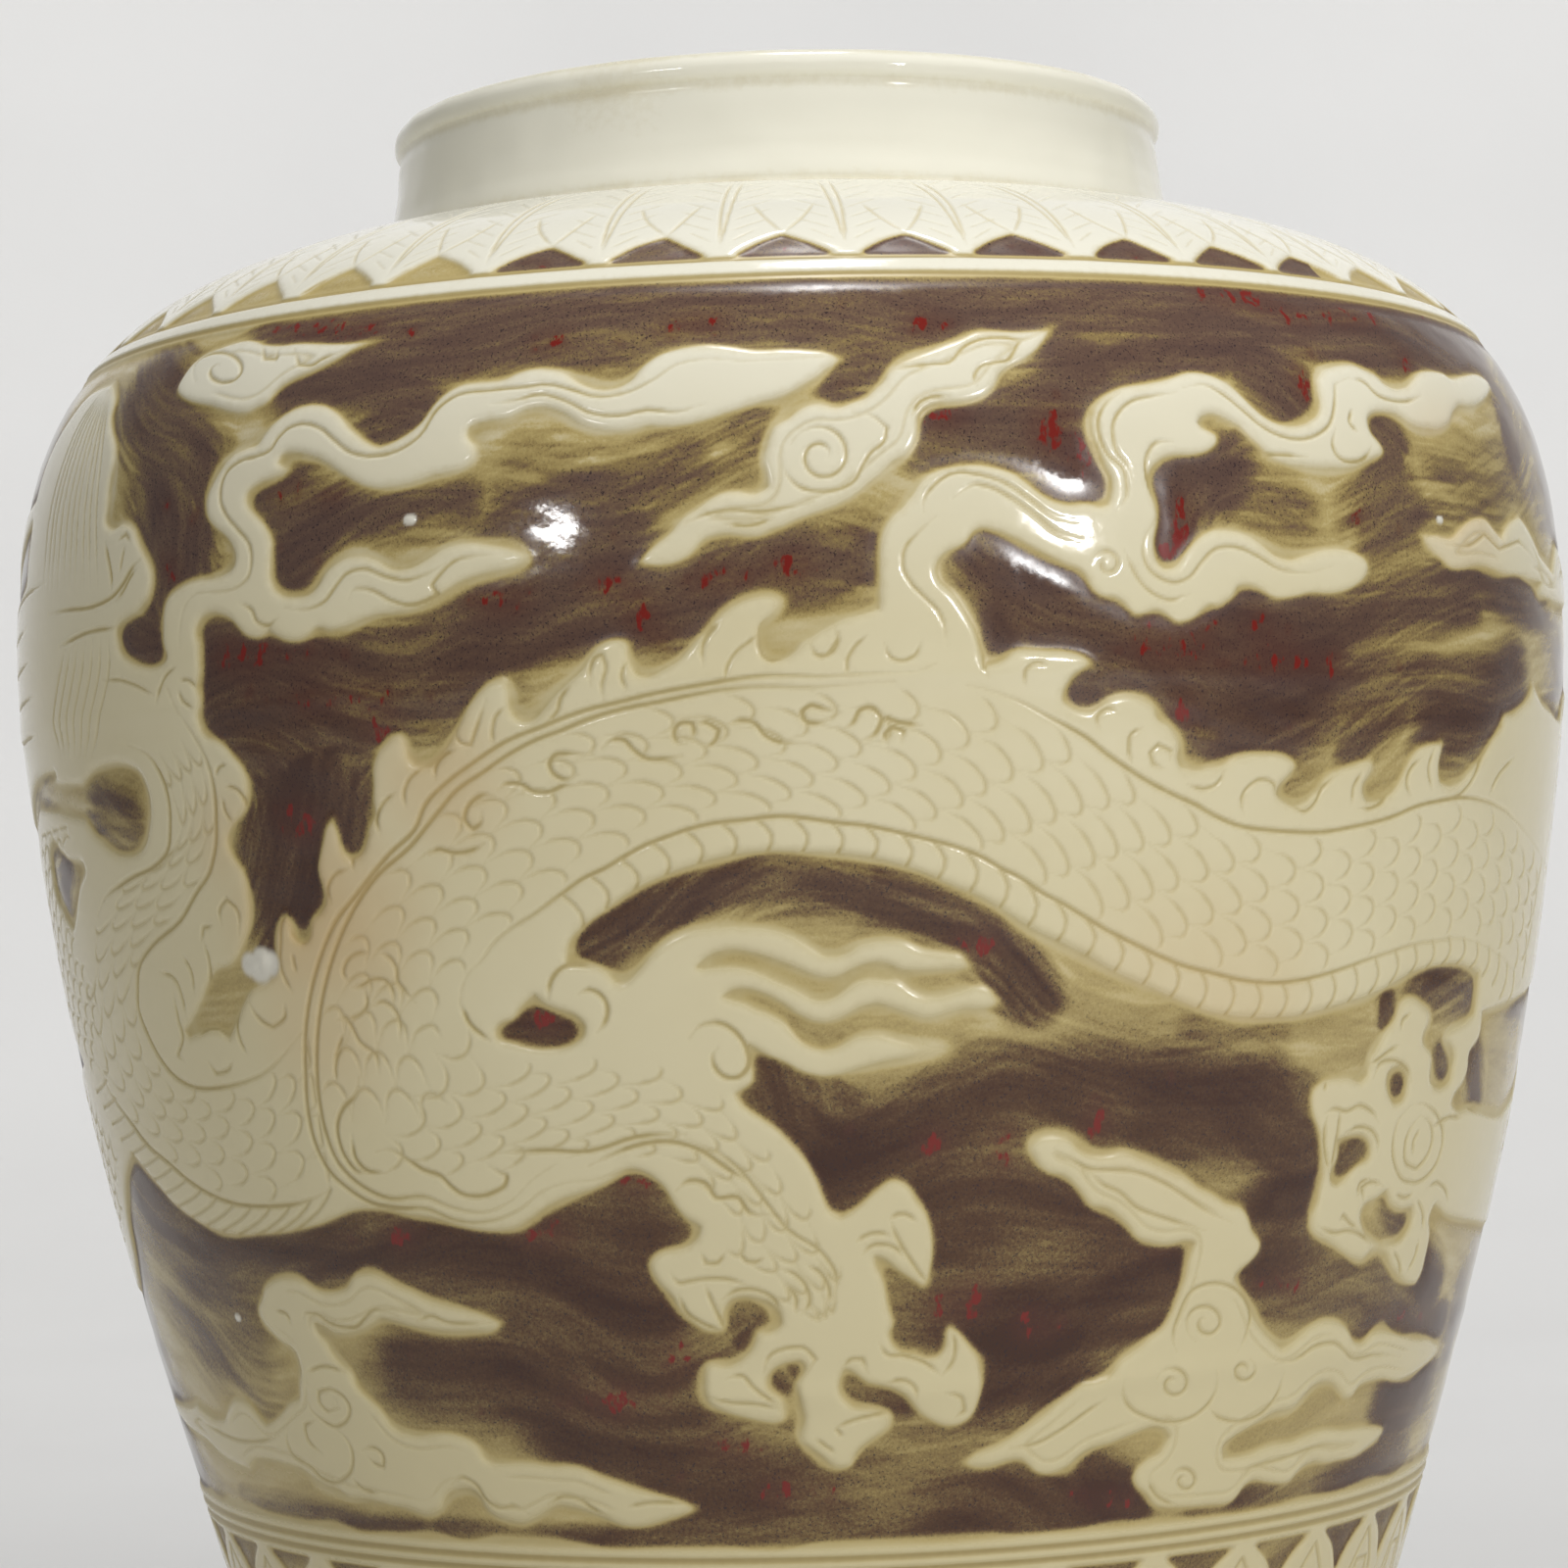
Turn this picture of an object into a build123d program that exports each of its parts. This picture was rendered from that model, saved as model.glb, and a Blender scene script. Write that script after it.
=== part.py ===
"""A large glazed storage jar of martaban type, built the way a potter builds one.

The jar is too tall to throw in one pull, so it is made of five thrown sections: a turned base
dish with its foot ring, a lower body, a middle body, a shoulder and a neck with a rolled lip.
Their rims are bevelled, scored and stuck to each other with a ring of clay slip, which is
smoothed into a low bead on the inside and leaves a faint swelling on the outside.

Frame: millimetres, +Z up, origin on the floor at the centre of the foot ring.
"""

import os

from build123d import *

# Overall form
total_height = 482.0
belly_radius = 210.0
shoulder_rise = 109.6

# Foot ring and base dish
foot_radius = 132.0
foot_width = 14.0
foot_height = 12.0
foot_step = 1.2
foot_bevel = 2.0
recess_depth = 9.0
recess_round = 3.0
floor_thickness = 13.0
floor_round = 22.0

# Wall thickness of the thrown sections
base_wall = 12.0
belly_wall = 10.0
shoulder_wall = 9.0

# Neck and rolled lip
mouth_radius = 96.0
mouth_round = 11.0
neck_height = 36.4
neck_base_wall = 12.0
neck_waist_wall = 9.5
neck_top_wall = 8.3
neck_fillet = 4.0
lip_width = 9.6
lip_height = 7.5
lip_inner_round = 5.0

# Luting joints between the sections
base_joint_height = 42.0
girth_joint_drop = 18.0
joint_rise = 6.0
slip_thickness = 0.9
bead_proud = 2.0
bead_half_height = 8.0
swell_proud = 0.4
swell_half_height = 3.5

# Turned lines that bound the shoulder band and the foot band
shoulder_line_drop = 30.1
shoulder_line_gap = 4.6
foot_line_drop = 42.6
foot_line_gap = 3.2
line_radius = 0.9
line_depth = 0.5

# How the wall swings between foot and belly, and between belly and neck:
# (share of the height, share of the change in radius)
LOWER_WALL_SHARES = [(0.22, 0.305), (0.46, 0.605), (0.65, 0.80), (0.84, 0.935)]
SHOULDER_SHARES = [(0.23, 0.013), (0.44, 0.055), (0.62, 0.143), (0.75, 0.262), (0.86, 0.43), (0.945, 0.66)]
INNER_WALL_SHARES = [0, 0.25, 0.5, 0.75]
LOWER_JOINT_SHARE = 0.406
# A bead's section: (share of its half height, share of how far it stands proud)
BEAD_SHARES = [(-1, 0), (-0.72, 0.66), (-0.25, 1), (0.25, 1), (0.72, 0.66), (1, 0)]
LIP_MIDDLE_SHARE = 0.5
LIP_CROWN_SHARE = 0.55
NECK_WAIST_SHARE = 0.5

# Sizes that follow from the ones above
quarter_turn = 90
overrun = base_wall
neck_base_radius = mouth_radius + neck_base_wall
neck_waist_radius = mouth_radius + neck_waist_wall
neck_top_radius = mouth_radius + neck_top_wall
lip_radius = mouth_radius + lip_width
neck_base_height = total_height - neck_height
belly_height = neck_base_height - shoulder_rise
girth_joint_height = belly_height - girth_joint_drop
lower_joint_height = base_joint_height + LOWER_JOINT_SHARE * (girth_joint_height - base_joint_height)
shoulder_line_height = neck_base_height - shoulder_line_drop
foot_line_height = lower_joint_height - foot_line_drop
wall_start_radius = foot_radius + foot_step
foot_inner_radius = foot_radius - foot_width
floor_height = recess_depth + floor_thickness
floor_edge_height = floor_height + floor_round
neck_foot_height = neck_base_height + neck_fillet
neck_top_height = total_height - lip_height
mouth_edge_height = total_height - lip_inner_round
lip_crown_radius = mouth_radius + LIP_CROWN_SHARE * lip_width


def between(low, high, shares):
    """Points from low towards high, at the given shares of height and radius."""
    (low_radius, low_height), (high_radius, high_height) = low, high
    return [
        (
            low_radius + radius_share * (high_radius - low_radius),
            low_height + height_share * (high_height - low_height),
        )
        for height_share, radius_share in shares
    ]


def radius_at(curve, height):
    """The radius of a rising outline curve at a height, found by halving."""
    low, high = 0.0, 1.0
    for _ in range(40):
        middle = (low + high) / 2
        if (curve @ middle).Y < height:
            low = middle
        else:
            high = middle
    return (curve @ low).X


def way(start, end):
    """The direction from one point to another."""
    return (end[0] - start[0], end[1] - start[1])


def inside_wall(curve, low, high, shares):
    """Points of the inner face, set in from the outer curve by a wall that thins upwards."""
    points = []
    for share in shares:
        height = low + share * (high - low)
        wall_here = base_wall + share * (belly_wall - base_wall)
        points.append((radius_at(curve, height) - wall_here, height))
    return points


# Both faces of the wall and the base, as one closed outline of the clay
outer_start = (wall_start_radius, foot_height)
outer_belly = (belly_radius, belly_height)
outer_end = (neck_base_radius + neck_fillet, neck_base_height)
outer_points = [
    outer_start,
    *between(outer_start, outer_belly, LOWER_WALL_SHARES),
    outer_belly,
    *between(outer_belly, outer_end, SHOULDER_SHARES),
    outer_end,
]
with BuildLine() as outer_line:
    outer_wall = Spline(*outer_points, tangents=[way(*outer_points[:2]), (-1, 0)])
    neck_corner = JernArc(outer_wall @ 1, (-1, 0), neck_fillet, -quarter_turn)
    neck_waist_height = neck_foot_height + NECK_WAIST_SHARE * (neck_top_height - neck_foot_height)
    neck_side = ThreePointArc(
        neck_corner @ 1,
        (neck_waist_radius, neck_waist_height),
        (neck_top_radius, neck_top_height),
    )
    lip_side = ThreePointArc(
        neck_side @ 1,
        (lip_radius, neck_top_height + LIP_MIDDLE_SHARE * lip_height),
        (lip_crown_radius, total_height),
    )
    lip_inside = EllipticalCenterArc(
        (lip_crown_radius, mouth_edge_height),
        lip_crown_radius - mouth_radius,
        lip_inner_round,
        start_angle=quarter_turn,
        arc_size=quarter_turn,
    )

inner_belly = (belly_radius - belly_wall, belly_height)
inner_end = (mouth_radius + mouth_round, neck_base_height - shoulder_wall)
inner_points = [
    *inside_wall(outer_wall, floor_edge_height, belly_height, INNER_WALL_SHARES),
    inner_belly,
    *between(inner_belly, inner_end, SHOULDER_SHARES),
    inner_end,
]
with BuildLine() as inner_line:
    inner_wall = Spline(*inner_points, tangents=[way(*inner_points[:2]), (-1, 0)])
    mouth_corner = JernArc(inner_wall @ 1, (-1, 0), mouth_round, -quarter_turn)
    Line(mouth_corner @ 1, lip_inside @ 1)
    floor_corner = RadiusArc(
        ((inner_wall @ 0).X - floor_round, floor_height),
        inner_wall @ 0,
        -floor_round,
    )
    Line((0, floor_height), floor_corner @ 0)

with BuildLine() as base_line:
    Polyline(
        (0, floor_height),
        (0, recess_depth),
        (foot_inner_radius - recess_round, recess_depth),
    )
    JernArc((foot_inner_radius - recess_round, recess_depth), (1, 0), recess_round, -quarter_turn)
    Polyline(
        (foot_inner_radius, recess_depth - recess_round),
        (foot_inner_radius, foot_bevel),
        (foot_inner_radius + foot_bevel, 0),
        (foot_radius - foot_bevel, 0),
        (foot_radius, foot_bevel),
        (foot_radius, foot_height),
        (wall_start_radius, foot_height),
    )

with BuildSketch() as wall:
    with BuildLine():
        add(outer_line.line)
        add(inner_line.line)
        add(base_line.line)
    make_face()
    line_heights = [
        shoulder_line_height,
        shoulder_line_height - shoulder_line_gap,
        foot_line_height,
        foot_line_height + foot_line_gap,
    ]
    for line_height in line_heights:
        line_centre = radius_at(outer_wall, line_height) + line_radius - line_depth
        with Locations((line_centre, line_height)):
            Circle(line_radius, mode=Mode.SUBTRACT)


class Joint:
    """A bevelled luting joint: the line of its slip from the outer to the inner face of the wall."""

    def __init__(self, outer, inner):
        self.outer = Vector(*outer)
        self.inner = Vector(*inner)
        self.way = (self.inner - self.outer).normalized()
        self.half_slip = Vector(-self.way.Y, self.way.X) * (slip_thickness / 2)
        if self.half_slip.Y < 0:
            self.half_slip = -self.half_slip

    def edge(self, side):
        """The two ends, past both faces, of the slip's lower (-1) or upper (+1) face."""
        shift = self.half_slip * side
        return (
            self.inner + self.way * overrun + shift,
            self.outer - self.way * overrun + shift,
        )


def body_joint(height):
    """A joint across the body wall that rises towards the inside."""
    return Joint(
        (radius_at(outer_wall, height), height),
        (radius_at(inner_wall, height + joint_rise), height + joint_rise),
    )


def section_outline(below, above):
    """A closed outline round the clay between two joints; None stands for the floor or the lip."""
    far = belly_radius + overrun
    if below is None:
        lower = [(0, -overrun), (far, -overrun)]
    else:
        inner, outer = below.edge(1)
        lower = [(0, inner.Y), (inner.X, inner.Y), (outer.X, outer.Y), (far, outer.Y)]
    if above is None:
        top = total_height + overrun
        upper = [(far, top), (0, top)]
    else:
        inner, outer = above.edge(-1)
        upper = [(far, outer.Y), (outer.X, outer.Y), (inner.X, inner.Y), (0, inner.Y)]
    return lower + upper


def section(below, above):
    """The part of the wall's outline that one thrown section fills."""
    with BuildSketch() as profile:
        with BuildLine():
            Polyline(*section_outline(below, above), close=True)
        make_face()
        add(wall.sketch, mode=Mode.INTERSECT)
    return profile.sketch


def bead(place, proud, half_height):
    """A low swelling of slip that stands proud of the wall, smoothed with a fingertip."""
    near = [(place.X + rise * proud, place.Y + run * half_height) for run, rise in BEAD_SHARES]
    far = [(place.X - rise * proud, place.Y + run * half_height) for run, rise in BEAD_SHARES[-2:0:-1]]
    with BuildSketch() as profile:
        with BuildLine():
            Polyline(*near, *far, close=True)
        make_face()
        add(wall.sketch, mode=Mode.SUBTRACT)
    return profile.sketch


def slip(joint, beads):
    """The outline of a luting ring: a thin layer across the wall, with its smoothed beads."""
    lower_inner, lower_outer = joint.edge(-1)
    upper_inner, upper_outer = joint.edge(1)
    with BuildSketch() as profile:
        with BuildLine():
            Polyline(lower_inner, lower_outer, upper_outer, upper_inner, close=True)
        make_face()
        add(wall.sketch, mode=Mode.INTERSECT)
        for one_bead in beads:
            add(one_bead)
    return profile.sketch


base_joint = body_joint(base_joint_height)
lower_joint = body_joint(lower_joint_height)
girth_joint = body_joint(girth_joint_height)
neck_joint = Joint(neck_corner @ 0.5, mouth_corner @ 0.5)


# Turned base dish with its foot ring
with BuildPart() as base_dish:
    with BuildSketch(Plane.XZ):
        add(section(None, base_joint))
    revolve(axis=Axis.Z)
base_dish.part.label = "base_dish"

# Three thrown body sections, from the base up
with BuildPart() as lower_body:
    with BuildSketch(Plane.XZ):
        add(section(base_joint, lower_joint))
    revolve(axis=Axis.Z)
lower_body.part.label = "lower_body"

with BuildPart() as middle_body:
    with BuildSketch(Plane.XZ):
        add(section(lower_joint, girth_joint))
    revolve(axis=Axis.Z)
middle_body.part.label = "middle_body"

with BuildPart() as shoulder:
    with BuildSketch(Plane.XZ):
        add(section(girth_joint, neck_joint))
    revolve(axis=Axis.Z)
shoulder.part.label = "shoulder"

# Neck with its rolled lip
with BuildPart() as neck:
    with BuildSketch(Plane.XZ):
        add(section(neck_joint, None))
    revolve(axis=Axis.Z)
neck.part.label = "neck"

# Slip rings that lute the sections together
with BuildPart() as base_slip_ring:
    with BuildSketch(Plane.XZ):
        add(slip(base_joint, [bead(base_joint.inner, bead_proud, bead_half_height)]))
    revolve(axis=Axis.Z)
base_slip_ring.part.label = "base_slip_ring"

with BuildPart() as lower_slip_ring:
    with BuildSketch(Plane.XZ):
        inside = bead(lower_joint.inner, bead_proud, bead_half_height)
        outside = bead(lower_joint.outer, swell_proud, swell_half_height)
        add(slip(lower_joint, [inside, outside]))
    revolve(axis=Axis.Z)
lower_slip_ring.part.label = "lower_slip_ring"

with BuildPart() as girth_slip_ring:
    with BuildSketch(Plane.XZ):
        inside = bead(girth_joint.inner, bead_proud, bead_half_height)
        outside = bead(girth_joint.outer, swell_proud, swell_half_height)
        add(slip(girth_joint, [inside, outside]))
    revolve(axis=Axis.Z)
girth_slip_ring.part.label = "girth_slip_ring"

with BuildPart() as neck_slip_ring:
    with BuildSketch(Plane.XZ):
        add(slip(neck_joint, []))
    revolve(axis=Axis.Z)
neck_slip_ring.part.label = "neck_slip_ring"

pieces = [
    base_dish,
    lower_body,
    middle_body,
    shoulder,
    neck,
    base_slip_ring,
    lower_slip_ring,
    girth_slip_ring,
    neck_slip_ring,
]

os.makedirs("parts", exist_ok=True)
for piece in pieces:
    export_step(piece.part, f"parts/{piece.part.label}.step")
    box = piece.part.bounding_box()
    print(
        f"{piece.part.label}: {len(piece.part.solids())} solid, {piece.part.volume / 1000:.1f} ml, "
        f"z {box.min.Z:.2f} to {box.max.Z:.2f}, r {box.max.X:.2f}"
    )
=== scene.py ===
"""The looks of the jar: its carved, painted and glazed wall, its bare foot, and the studio.

Lengths are millimetres and angles are degrees round the jar, 0 at the front and 90 towards +X,
until a mesh is made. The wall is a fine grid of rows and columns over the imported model's own
outline. The carving and the painting are drawn on that grid: a place on it is an (angle, height)
pair, and what the photograph shows is written in its pixels and carried onto the wall by seen().
"""

import math

import bpy
import numpy as np
from mathutils import Matrix, Vector


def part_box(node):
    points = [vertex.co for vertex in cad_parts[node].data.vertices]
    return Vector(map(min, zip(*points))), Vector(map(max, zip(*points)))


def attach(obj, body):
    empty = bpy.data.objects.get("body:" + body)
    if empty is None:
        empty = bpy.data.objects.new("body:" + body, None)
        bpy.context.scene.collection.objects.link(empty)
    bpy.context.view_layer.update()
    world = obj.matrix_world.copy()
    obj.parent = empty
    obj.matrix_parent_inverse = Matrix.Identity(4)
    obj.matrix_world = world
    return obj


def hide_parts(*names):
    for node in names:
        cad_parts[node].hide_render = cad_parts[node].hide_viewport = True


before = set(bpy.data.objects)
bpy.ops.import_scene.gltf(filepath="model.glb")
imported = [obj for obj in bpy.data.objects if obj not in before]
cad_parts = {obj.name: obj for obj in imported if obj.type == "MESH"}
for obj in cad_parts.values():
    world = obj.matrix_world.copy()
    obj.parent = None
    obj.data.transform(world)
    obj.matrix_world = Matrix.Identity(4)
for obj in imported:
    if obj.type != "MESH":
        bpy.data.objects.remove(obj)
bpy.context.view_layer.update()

MM = 0.001
TURN = 2 * math.pi
# The wall's radius where it is laid out flat for textures, and the cells of a texture's lattice
FLAT_RADIUS = 190
LATTICE = 64
chance = np.random.default_rng(7)

# The camera of the photograph
IMAGE_SIZE = 1600
LENS = 90.0
SENSOR = 36.0
CAMERA_PLACE = (-2.99, -1081.77, 266.0)
CAMERA_PITCH = math.radians(1.8208)
CAMERA_ROLL = math.radians(1.6117)
# How far along its rays the wall is looked for
RAY_REACH = np.linspace(840, 1150, 156)

# The grid over the wall
COLUMNS = 2400
ROW_STEP = 0.55
WALL_NODES = ["lower_body", "middle_body", "shoulder"]
WALL_FOOT = 11.9
WALL_TOP = 445.62
HALF_SLIP = 0.4

# How deep the carver cut
GROUND_DEPTH = 0.55
GROUND_EDGE_DEPTH = 0.35
LINE_DEPTH = 0.42
LINE_WIDTH = 1.5
FIGURE_LINE_WIDTH = 1.35
FIGURE_LINE_DEPTH = 0.85
TURNED_HALF_WIDTH = 1.1
TURNED_DEPTH = 1.25
# How far outside a figure, in pixels, the lines that are copied with it may reach
COPY_MARGIN = 8

# Heights of the turned lines, and of the carved field between them
SHOULDER_LINES = (415.5, 410.9)
FOOT_LINES = (111.4, 114.6)
FIELD_TOP = 409.9
FIELD_BOTTOM = 117.5


def seam(node):
    """Radius and height of the points of a CAD node on its seam, where the outline is exact."""
    mesh = bpy.data.objects[node].data
    places = np.empty(len(mesh.vertices) * 3)
    mesh.vertices.foreach_get("co", places)
    places = places.reshape(-1, 3) / MM
    on_seam = (np.abs(places[:, 1]) < 0.02) & (places[:, 0] > 0)
    outline = np.unique(np.round(places[on_seam][:, [0, 2]], 2), axis=0)
    return outline[np.argsort(outline[:, 1], kind="stable")]


def outer_hull(points):
    """The points of an outline that bulge outwards: its smooth face without the turned lines."""
    hull = []
    for radius, height in points:
        while len(hull) > 1:
            (r0, z0), (r1, z1) = hull[-2:]
            if (r1 - r0) * (height - z0) > (radius - r0) * (z1 - z0):
                break
            hull.pop()
        hull.append((radius, height))
    return np.array(hull)


def smooth(points, closed=False, parts=4, corner=62.0):
    """A curve through the points that turns smoothly, except where they turn a sharp corner."""
    knots = np.asarray(points, float)
    if closed:
        ring = np.vstack([knots[-1], knots, knots[:2]])
    else:
        ring = np.vstack([2 * knots[0] - knots[1], knots, 2 * knots[-1] - knots[-2]])
    steps = np.diff(ring, axis=0)
    lengths = np.maximum(np.linalg.norm(steps, axis=1), 1e-6)
    ways = steps / lengths[:, None]
    before, after = ways[:-1], ways[1:]
    weight = lengths[:-1] / (lengths[:-1] + lengths[1:])
    tangents = before + (after - before) * weight[:, None]
    turning = (before * after).sum(axis=1)
    tangents[turning < math.cos(math.radians(corner))] = 0
    spans = len(knots) if closed else len(knots) - 1
    t = np.linspace(0, 1, parts, endpoint=False)[None, :, None]
    start = ring[1:spans + 1][:, None]
    end = ring[2:spans + 2][:, None]
    reach = lengths[1:spans + 1][:, None, None]
    first = tangents[:spans][:, None] * reach
    following = tangents[1:spans + 1]
    if len(following) < spans:
        following = np.vstack([following, tangents[:1]])
    last = following[:, None] * reach
    curve = (
        start * (2 * t**3 - 3 * t**2 + 1)
        + first * (t**3 - 2 * t**2 + t)
        + end * (3 * t**2 - 2 * t**3)
        + last * (t**3 - t**2)
    ).reshape(-1, knots.shape[1])
    return curve if closed else np.vstack([curve, knots[-1]])


def run_along(path):
    """How far along a path each of its points lies."""
    return np.concatenate([[0], np.cumsum(np.linalg.norm(np.diff(path, axis=0), axis=1))])


# The wall's outline, from the foot's step up to the neck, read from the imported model
wall_seam = np.vstack([seam(node) for node in ["base_dish"] + WALL_NODES])
wall_seam = wall_seam[wall_seam[:, 1] > WALL_FOOT]
wall_seam = wall_seam[np.lexsort((wall_seam[:, 0], wall_seam[:, 1]))]
outline = smooth(outer_hull(wall_seam[wall_seam[:, 1] < WALL_TOP]), parts=60)
outline_run = run_along(outline)


def run_at(height):
    """How far along the wall's outline a height lies."""
    return np.interp(height, outline[:, 1], outline_run)


def radius_at(height):
    """The wall's radius at a height."""
    return np.interp(height, outline[:, 1], outline[:, 0])


def on_wall(angle, run):
    """The point of the smooth wall at an angle and a distance along its outline."""
    radius = np.interp(run, outline_run, outline[:, 0])
    height = np.interp(run, outline_run, outline[:, 1])
    turned = np.radians(angle)
    across = radius * np.sin(turned)
    return np.stack([across, -radius * np.cos(turned), height + 0 * across], axis=-1)


def seen(pixels):
    """The (angle, height) on the wall of pixels of the photograph, along the camera's rays."""
    pixels = np.asarray(pixels, float)
    across, down = (pixels - IMAGE_SIZE / 2).T
    focal = LENS / SENSOR * IMAGE_SIZE
    cos_roll, sin_roll = math.cos(-CAMERA_ROLL), math.sin(-CAMERA_ROLL)
    right = (across * cos_roll + down * sin_roll) / focal
    up = (across * sin_roll - down * cos_roll) / focal
    cos_pitch, sin_pitch = math.cos(CAMERA_PITCH), math.sin(CAMERA_PITCH)
    rays = np.stack([right, cos_pitch - up * sin_pitch, sin_pitch + up * cos_pitch], axis=1)
    track = np.array(CAMERA_PLACE) + rays[:, None] * RAY_REACH[None, :, None]
    gap = np.hypot(track[..., 0], track[..., 1]) - radius_at(track[..., 2])
    inside = gap <= 0
    found = np.where(inside.any(axis=1), inside.argmax(axis=1), gap.argmin(axis=1))
    near = RAY_REACH[np.maximum(found - 1, 0)]
    far = RAY_REACH[found]
    for _ in range(20):
        middle = (near + far) / 2
        place = np.array(CAMERA_PLACE) + rays * middle[:, None]
        hit = np.hypot(place[:, 0], place[:, 1]) <= radius_at(place[:, 2])
        far = np.where(hit, middle, far)
        near = np.where(hit, near, middle)
    place = np.array(CAMERA_PLACE) + rays * far[:, None]
    return np.stack([np.degrees(np.arctan2(place[:, 0], -place[:, 1])), place[:, 2]], axis=1)


# The grid: rows along the outline, with one row exactly on each luting joint
joint_heights = [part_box(node)[0][2] / MM - HALF_SLIP for node in WALL_NODES]
row_stops = [run_at(height) for height in joint_heights] + [outline_run[-1]]
row_runs = []
node_rows = []
for low, high in zip(row_stops[:-1], row_stops[1:]):
    count = int(round((high - low) / ROW_STEP))
    first_row = len(row_runs)
    row_runs += list(np.linspace(low, high, count, endpoint=False))
    node_rows.append((first_row, len(row_runs)))
row_runs = np.array(row_runs + [row_stops[-1]])
ROWS = len(row_runs)
column_angles = np.linspace(-180, 180, COLUMNS, endpoint=False)
grid = on_wall(column_angles[None, :], row_runs[:, None]).astype(np.float32)
row_heights = grid[:, 0, 2].copy()
row_radii = np.hypot(grid[:, 0, 0], grid[:, 0, 1])
column_step = 360 / COLUMNS


def layer():
    """An empty sheet over the grid."""
    return np.zeros((ROWS, COLUMNS), np.float32)


def windows(places, reach):
    """Each segment of a path, with the part of the grid within reach of it and its distances."""
    places = np.asarray(places, float)
    runs = run_at(places[:, 1])
    points = on_wall(places[:, 0], runs)
    for k in range(len(places) - 1):
        low, high = sorted((runs[k], runs[k + 1]))
        row_from, row_to = np.searchsorted(row_runs, (low - reach, high + reach))
        if row_from >= row_to:
            continue
        rows = np.arange(row_from, row_to)
        margin = math.degrees(reach / row_radii[rows].min())
        left, right = sorted((places[k, 0], places[k + 1, 0]))
        first = math.ceil((left - margin + 180) / column_step)
        last = math.floor((right + margin + 180) / column_step)
        columns = np.arange(first, last + 1) % COLUMNS
        if not len(columns):
            continue
        window = np.ix_(rows, columns)
        offset = grid[window] - points[k].astype(np.float32)
        way = (points[k + 1] - points[k]).astype(np.float32)
        length = max(float(np.linalg.norm(way)), 1e-4)
        share = np.clip(offset @ way / length**2, 0, 1)
        offset -= share[..., None] * way
        yield k, window, share, np.sqrt((offset**2).sum(axis=-1)), length


def incise(sheet, places, width=LINE_WIDTH, depth=1.0, taper=True):
    """Cuts a line: a soft groove along a path, which thins towards its ends."""
    places = np.asarray(places, float)
    count = len(places) - 1
    for k, window, share, away, _ in windows(places, width / 2):
        press = 1.0
        if taper:
            along = (k + share) / count
            press = np.clip(np.minimum(along, 1 - along) * 5, 0.25, 1)
        stroke = np.clip(1 - (away / (width / 2 * (0.55 + 0.45 * press)))**2, 0, 1)
        sheet[window] = np.maximum(sheet[window], depth * press * stroke)


def fill(places):
    """How much of each grid cell a closed outline covers, with its first row."""
    fine = 4
    places = np.asarray(places, float)
    runs = run_at(places[:, 1])
    row_from = max(int(np.searchsorted(row_runs, runs.min())) - 1, 0)
    row_to = min(int(np.searchsorted(row_runs, runs.max())) + 2, ROWS)
    position = np.interp(runs, row_runs, np.arange(ROWS)) - row_from
    line = (position + 0.5) * fine - 0.5
    column = (places[:, 0] + 180) / column_step
    shift = COLUMNS * math.floor(column.min() / COLUMNS)
    column = column - shift
    cover = np.zeros(((row_to - row_from) * fine, 2 * COLUMNS + 2), np.float32)
    for k in range(len(places)):
        a, b = line[k], line[(k + 1) % len(places)]
        low, high = min(a, b), max(a, b)
        lines = np.arange(max(math.ceil(low), 0), min(math.ceil(high), len(cover)))
        if not len(lines):
            continue
        crossing = column[k] + (lines - a) / (b - a) * (column[(k + 1) % len(places)] - column[k])
        crossing = np.clip(crossing, 0, 2 * COLUMNS - 1)
        whole = np.floor(crossing).astype(int)
        part = crossing - whole
        sign = 1.0 if b > a else -1.0
        cover[lines, whole] += sign * (1 - part)
        cover[lines, whole + 1] += sign * part
    cover = np.abs(np.cumsum(cover, axis=1))[:, :2 * COLUMNS]
    cover = cover.reshape(-1, fine, 2 * COLUMNS).mean(axis=1)
    return row_from, np.clip(cover[:, :COLUMNS] + cover[:, COLUMNS:], 0, 1)


def paint_shape(sheet, places, erase=False):
    """Adds a closed outline's shape to a sheet, or cuts it out of it."""
    row_from, cover = fill(places)
    part = sheet[row_from:row_from + len(cover)]
    if erase:
        np.minimum(part, 1 - cover, out=part)
    else:
        np.maximum(part, cover, out=part)


def blur(sheet, size):
    """A sheet softened over about this many millimetres."""
    for axis, step in ((0, ROW_STEP), (1, column_step * FLAT_RADIUS * math.pi / 180)):
        half = max(int(round(size / step * 0.6)), 1)
        for _ in range(3):
            if axis == 1:
                padded = np.concatenate([sheet[:, -half - 1:], sheet, sheet[:, :half]], axis=1)
            else:
                top = np.repeat(sheet[-1:], half, axis=0)
                padded = np.concatenate([np.repeat(sheet[:1], half + 1, axis=0), sheet, top], axis=0)
            total = np.cumsum(padded, axis=axis, dtype=np.float64)
            if axis == 1:
                sheet = (total[:, 2 * half + 1:] - total[:, :-2 * half - 1]) / (2 * half + 1)
            else:
                sheet = (total[2 * half + 1:] - total[:-2 * half - 1]) / (2 * half + 1)
            sheet = sheet.astype(np.float32)
    return sheet


def ramp(value, low, high):
    """0 below low, 1 above high, and a smooth rise between them."""
    share = np.clip((value - low) / (high - low), 0, 1)
    return share * share * (3 - 2 * share)


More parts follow.
